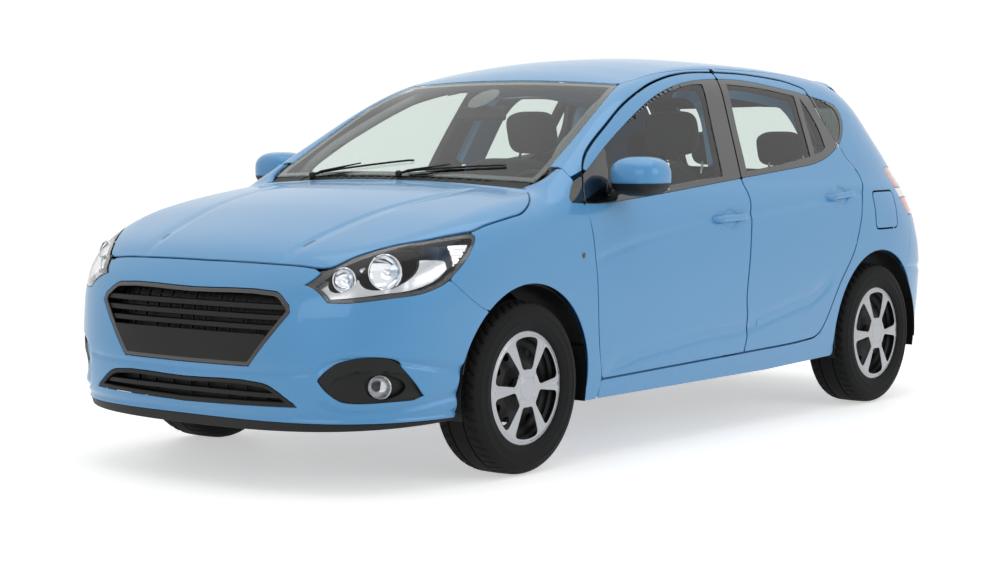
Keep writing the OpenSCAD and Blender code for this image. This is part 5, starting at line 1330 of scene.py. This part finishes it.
def cover_sheet(y0):
    """A wheel cover's chart and outline: six windows between ribbed spokes, and four nuts."""
    def window(p):
        y, z = p[..., 1] - y0, p[..., 2] - TYRE_R
        r = np.hypot(y, z)
        a = (np.degrees(np.arctan2(z, y)) + 360) % 60 - 30
        side = r*np.sin(np.radians(np.maximum(22 - np.abs(a), -60)))
        return -soft_max(soft_max(-side, 68 - r, 18), r - 182, 20)

    def place(u, v, d):
        r = np.hypot(u, v)
        a = (np.degrees(np.arctan2(v, u)) + 360) % 60 - 30
        h = 94 - 6*(r/190)**2 - 9*np.clip((r - 186)/30, 0, 1)**2
        h = h + 1.6*np.exp(-((np.abs(a) - 27)/2.2)**2)*np.clip((r - 60)/20, 0, 1)*(r < 182)
        h = h - 1.8*np.exp(-((r - 42)/2.4)**2) - 1.6*np.exp(-((r - 194)/2.4)**2)
        nuts = np.min([np.hypot(u - 58*math.cos(k), v - 58*math.sin(k))
                       for k in np.arange(4)*np.pi/2 + 0.78], 0)
        h = h - 3.5*np.clip(1 - nuts/10, 0, 1)**0.5
        return stack(TRACK + h - d, y0 + u, TYRE_R + v)
    return place, all_of(disc(YZ, (y0, TYRE_R), 217.5), less(window))


def rim_disc_sheet(y0):
    """A wheel disc's chart and outline: a pressed ring with twelve round holes."""
    def place(u, v, d):
        r = np.hypot(u, v)
        h = 44 + 10*np.exp(-((r - 92)/26)**2) - 6*np.exp(-((r - 150)/16)**2)
        return stack(TRACK + h - d, y0 + u, TYRE_R + v)
    holes = any_of(*[disc(YZ, (y0 + 132*math.cos(k), TYRE_R + 132*math.sin(k)), 15)
                     for k in np.arange(12)*np.pi/6])
    return place, all_of(disc(YZ, (y0, TYRE_R), 189), less(holes))


def wheel_mesh(centre):
    """Rim barrel, hub and grooved brake disc."""
    c = np.asarray(centre, float)
    barrel = lathe([(202.6, -89), (202.6, 80), (196, 80.4), (190, 76), (190, 60), (180, 52),
                    (178, 20), (184, -60), (192, -89)], c, (1, 0, 0), 96)
    hub = lathe([(0.01, 52), (30, 52), (34, 48), (34, 12), (16.2, 12), (16.2, -2), (0.01, -2)],
                c, (1, 0, 0), 48)
    brake = lathe([(36, 2), (128, 2), (128, 7), (124, 7), (124, 10), (128, 10), (128, 14),
                   (36, 14)], c, (1, 0, 0), 96)
    return join(barrel, hub, brake)


for end, y0 in (("front", FRONT_Y), ("rear", REAR_Y)):
    hub_at = (TRACK, y0, TYRE_R)
    wheel = f"{end}_wheel_SIDE"
    twin(f"{end}_tyre_tread_SIDE", tyre_mesh(hub_at), TYRE, angle=28, body=wheel,
         replaces=[f"{end}_tyre_SIDE"], slot="tyre")
    twin(f"{end}_rim_SIDE", wheel_mesh(hub_at), STEEL, body=wheel, replaces=[wheel],
         slot="black_steel")
    place, region = rim_disc_sheet(y0)
    twin_shell(f"{end}_rim_disc_SIDE", place, steps(-192, 192, 7), steps(-192, 192, 7), region,
               STEEL, (0, 4), body=wheel, slot="black_steel")
    place, region = cover_sheet(y0)
    twin_shell(f"{end}_cover_face_SIDE", place, steps(-222, 222, 4), steps(-222, 222, 4), region,
               SILVER, (0, 3), edge=1.5, body=wheel, replaces=[f"{end}_wheel_cover_SIDE"],
               slot="silver")

GUARD_R, GUARD_X = 366, 828
GUARD_SPANS = ((-13, 20), (160, 193))
for end, y0, x0 in (("front", FRONT_Y, 616), ("rear", REAR_Y, 562)):
    def round_arch(u, v, d):
        t = np.radians(u)
        return stack(v, y0 + (GUARD_R - d)*np.cos(t), TYRE_R + (GUARD_R - d)*np.sin(t))
    for k, (a0, a1) in enumerate(GUARD_SPANS):
        twin_shell(f"{end}_splash_guard{k}_SIDE", round_arch, steps(a0, a1, 2.5),
                   steps(x0, GUARD_X, 14),
                   lambda p: np.minimum(GUARD_X - 1 - p[..., 0], p[..., 0] - x0 - 1), BLACK,
                   (0, 3), edge=1, flip=True, slot="black_plastic")

# ---- cabin ----
COLUMN = np.array([370.0, -470, 900])
LEAN = math.radians(65)
C_AXIS = np.array([0, math.sin(LEAN), math.cos(LEAN)])
C_DOWN = np.array([0, math.cos(LEAN), -math.sin(LEAN)])
ring = [(168 + 14*math.cos(t), 14*math.sin(t)) for t in np.linspace(0, 2*np.pi, 18)[:-1]]
spokes = [tube([COLUMN + 40*d - 8*C_AXIS, COLUMN + 100*d - 12*C_AXIS, COLUMN + 162*d],
               [20, 15, 12], 14, 0.5, C_AXIS) for d in (np.array([1.0, 0, 0]),
                                                       np.array([-1.0, 0, 0]), C_DOWN)]
add("steering_rim", *join(lathe(ring, COLUMN, C_AXIS, 72), *spokes,
                          lathe([(0.01, 8), (40, 5), (56, -4), (58, -20), (50, -34),
                                 (0.01, -34)], COLUMN, C_AXIS, 48),
                          lathe([(0.01, -30), (9.5, -30), (9.5, -118), (0.01, -118)], COLUMN,
                                C_AXIS, 24)),
    BLACK, body="steering_wheel", replaces="steering_wheel", slot="black_plastic", angle=50)
add("dashboard_top", *join(box_mesh((-640, -838, 650), (640, -580, 900), 62, 8),
                           pillow((370, -640, 900), (165, 62, 42), 3, 14),
                           tube([COLUMN - 170*C_AXIS, COLUMN - 44*C_AXIS], 29, 24)),
    TRIM, replaces="dashboard", slot="black_plastic", angle=50)
add("centre_console", *join(box_mesh((-85, -646, 412), (85, -552, 700), 16),
                            box_mesh((-84, -580, 412), (84, 138, 520), 22),
                            box_mesh((-70, -560, 600), (70, -545, 690), 6),
                            tube([(0, -200, 515), (0, -215, 580), (0, -226, 640)],
                                 [9, 8, 22], 16)), BLACK, slot="black_plastic", angle=50)
for k, x in enumerate((-560, -110, 110, 560)):
    block(f"air_vent_{k}", (x - 45, -592, 800), (x + 45, -574, 860), GLOSS, 6,
          slot="black_plastic")


def padding(name, shape, replaces=()):
    """A cloth-covered cushion."""
    piece = add(name, *shape, FABRIC, replaces=replaces, slot="seat_fabric", angle=60)


def posts(x, apart, low, high):
    """A head rest's two posts, each apart from x, from the (y, z) low to the (y, z) high."""
    return [tube([(x + apart*q, *low), (x + apart*q, *high)], 6, 12) for q in (-1, 1)]


for s, side in SIDES:
    x = 370*s
    padding(f"front_cushion_{side}", pillow((x, -80, 406), (240, 250, 74), 5, 30, 22,
            [(0, -120, 9, 9), (0, 120, 9, 9), (1, 60, 5, 7)]), "front_seats")
    padding(f"front_backrest_{side}", pillow((x, 305, 765), (240, 330, 60), 5, 30, 20,
            [(0, -120, 9, 9), (0, 120, 9, 9), (1, -60, 5, 7), (1, 90, 5, 7)], tilt=104))
    padding(f"front_headrest_{side}", pillow((x, 418, 1202), (122, 92, 44), 4, 20, 8, tilt=104))
    add(f"front_seat_base_{side}", *join(
        box_mesh((x - 212, -285, 263), (x + 212, 105, 345), 10),
        *posts(x, 45, (380, 1062), (401, 1142))), BLACK, slot="black_plastic")
for k, x in enumerate((-275, 275)):
    padding(f"rear_cushion_{k}", pillow((x, 868, 515), (268, 232, 58), 5, 26, 16,
            [(0, 0, 6, 8), (1, 80, 5, 7)]), "rear_seat")
    padding(f"rear_backrest_{k}", pillow((x, 1213, 766), (268, 272, 56), 5, 26, 16,
            [(0, 0, 6, 8), (1, 60, 5, 7)], tilt=106))
REAR_HEADS = (-360, 0, 360)
for k, x in enumerate(REAR_HEADS):
    padding(f"rear_headrest_{k}", pillow((x, 1319, 1128), (108, 76, 42), 4, 18, 8, tilt=106))
add("rear_headrest_posts", *join(*[post for x in REAR_HEADS
                                   for post in posts(x, 40, (1284, 1010), (1303, 1085))]),
    CHROME, slot="silver")
low, high = (np.array(v)/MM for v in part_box("interior_mirror"))
add("cabin_mirror", *join(box_mesh((-118, low[1] + 4, 1254), (118, low[1] + 34, 1314), 13),
                          tube([(0, low[1] + 17, 1300), (0, low[1] + 17, high[2] - 1)], 6, 14)),
    BLACK, replaces="interior_mirror", slot="black_plastic")
block("cabin_mirror_face", (-108, low[1] + 32, 1262), (108, low[1] + 35.5, 1306), MIRROR, 1.6,
      slot="silver")

# ---- the frame's own solids that still show ----
KEPT = {"floor_pan": UNDER, "bulkhead": BLACK, "front_frame": UNDER, "arch_liners": BLACK,
        "engine_block": IRON, "front_suspension": STEEL, "rear_axle": STEEL, "exhaust": IRON,
        "fuel_tank": BLACK, "front_knuckle_left": IRON, "front_knuckle_right": IRON}
for name, mat in KEPT.items():
    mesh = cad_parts[name].data
    for i in range(max(1, len(mesh.materials))):
        if i < len(mesh.materials):
            mesh.materials[i] = mat
        else:
            mesh.materials.append(mat)

# ---- stage, light and camera ----
FLOOR = material("studio_floor", "#f4f4f3", rough=0.55, grain=0.4)


def seen_directly(t):
    """1 for the camera's, mirrors' and glass's own rays, 0 for the light that falls on things."""
    path = node(t, "LightPath")
    total = path.outputs["Is Camera Ray"]
    for name in ("Is Glossy Ray", "Is Transmission Ray"):
        more = node(t, "Math", operation="MAXIMUM")
        t.links.new(total, more.inputs[0])
        t.links.new(path.outputs[name], more.inputs[1])
        total = more.outputs["Value"]
    return total


def lift_floor(m, strength):
    """The floor's own white under its shadow, for the rays that see it directly."""
    t = m.node_tree
    out = t.nodes["Material Output"]
    lit = out.inputs["Surface"].links[0].from_socket
    glow = node(t, "Emission", {"Color": rgb("#ffffff")})
    level = node(t, "Math", {1: strength}, operation="MULTIPLY")
    t.links.new(seen_directly(t), level.inputs[0])
    t.links.new(level.outputs["Value"], glow.inputs["Strength"])
    total = node(t, "AddShader")
    t.links.new(lit, total.inputs[0])
    t.links.new(glow.outputs["Emission"], total.inputs[1])
    t.links.new(total.outputs["Shader"], out.inputs["Surface"])


lift_floor(FLOOR, 0.5)
FAR = 26000
floor = add("studio_floor", [(-FAR, -FAR, -0.5), (FAR, -FAR, -0.5), (FAR, FAR, -0.5),
                             (-FAR, FAR, -0.5)], [[0, 1, 2, 3]], FLOOR)
floor.parent = None


def softbox(name, at, aim, size, watts):
    """A rectangular lamp of that size in metres at one point, turned towards another."""
    light = bpy.data.lights.new(name, "AREA")
    light.shape, light.size, light.size_y, light.energy = "RECTANGLE", size[0], size[1], watts
    obj = bpy.data.objects.new(name, light)
    obj.location = at
    obj.rotation_euler = (Vector(aim) - Vector(at)).to_track_quat("-Z", "Y").to_euler()
    bpy.context.scene.collection.objects.link(obj)


softbox("roof_light", (0.5, -0.5, 6.5), (0, 0, 0), (7, 6), 130)
softbox("side_light", (7.5, 0.5, 3.2), (0, 0, 0.7), (5, 3), 85)
softbox("nose_light", (1.5, -8.0, 3.0), (0, 0, 0.6), (5, 3), 65)
world = bpy.data.worlds.new("studio")
world.use_nodes = True
sky = world.node_tree
backdrop = sky.nodes["Background"]
backdrop.inputs["Color"].default_value = rgb("#ffffff")
level = node(sky, "MapRange", {"To Min": 0.46, "To Max": 1.02})
sky.links.new(seen_directly(sky), level.inputs["Value"])
sky.links.new(level.outputs["Result"], backdrop.inputs["Strength"])
scene = bpy.context.scene
scene.world = world
scene.view_settings.view_transform = "Standard"
CAMERA_AT, CAMERA_DOWN, CAMERA_TURN = (5.498, -7.323, 1.256), 4.21, 38
camera = bpy.data.cameras.new("camera")
camera.lens, camera.sensor_width = 78.8, 36
view = bpy.data.objects.new("camera", camera)
view.location = CAMERA_AT
view.rotation_euler = (math.radians(90 - CAMERA_DOWN), 0, math.radians(CAMERA_TURN))
scene.collection.objects.link(view)
scene.camera = view
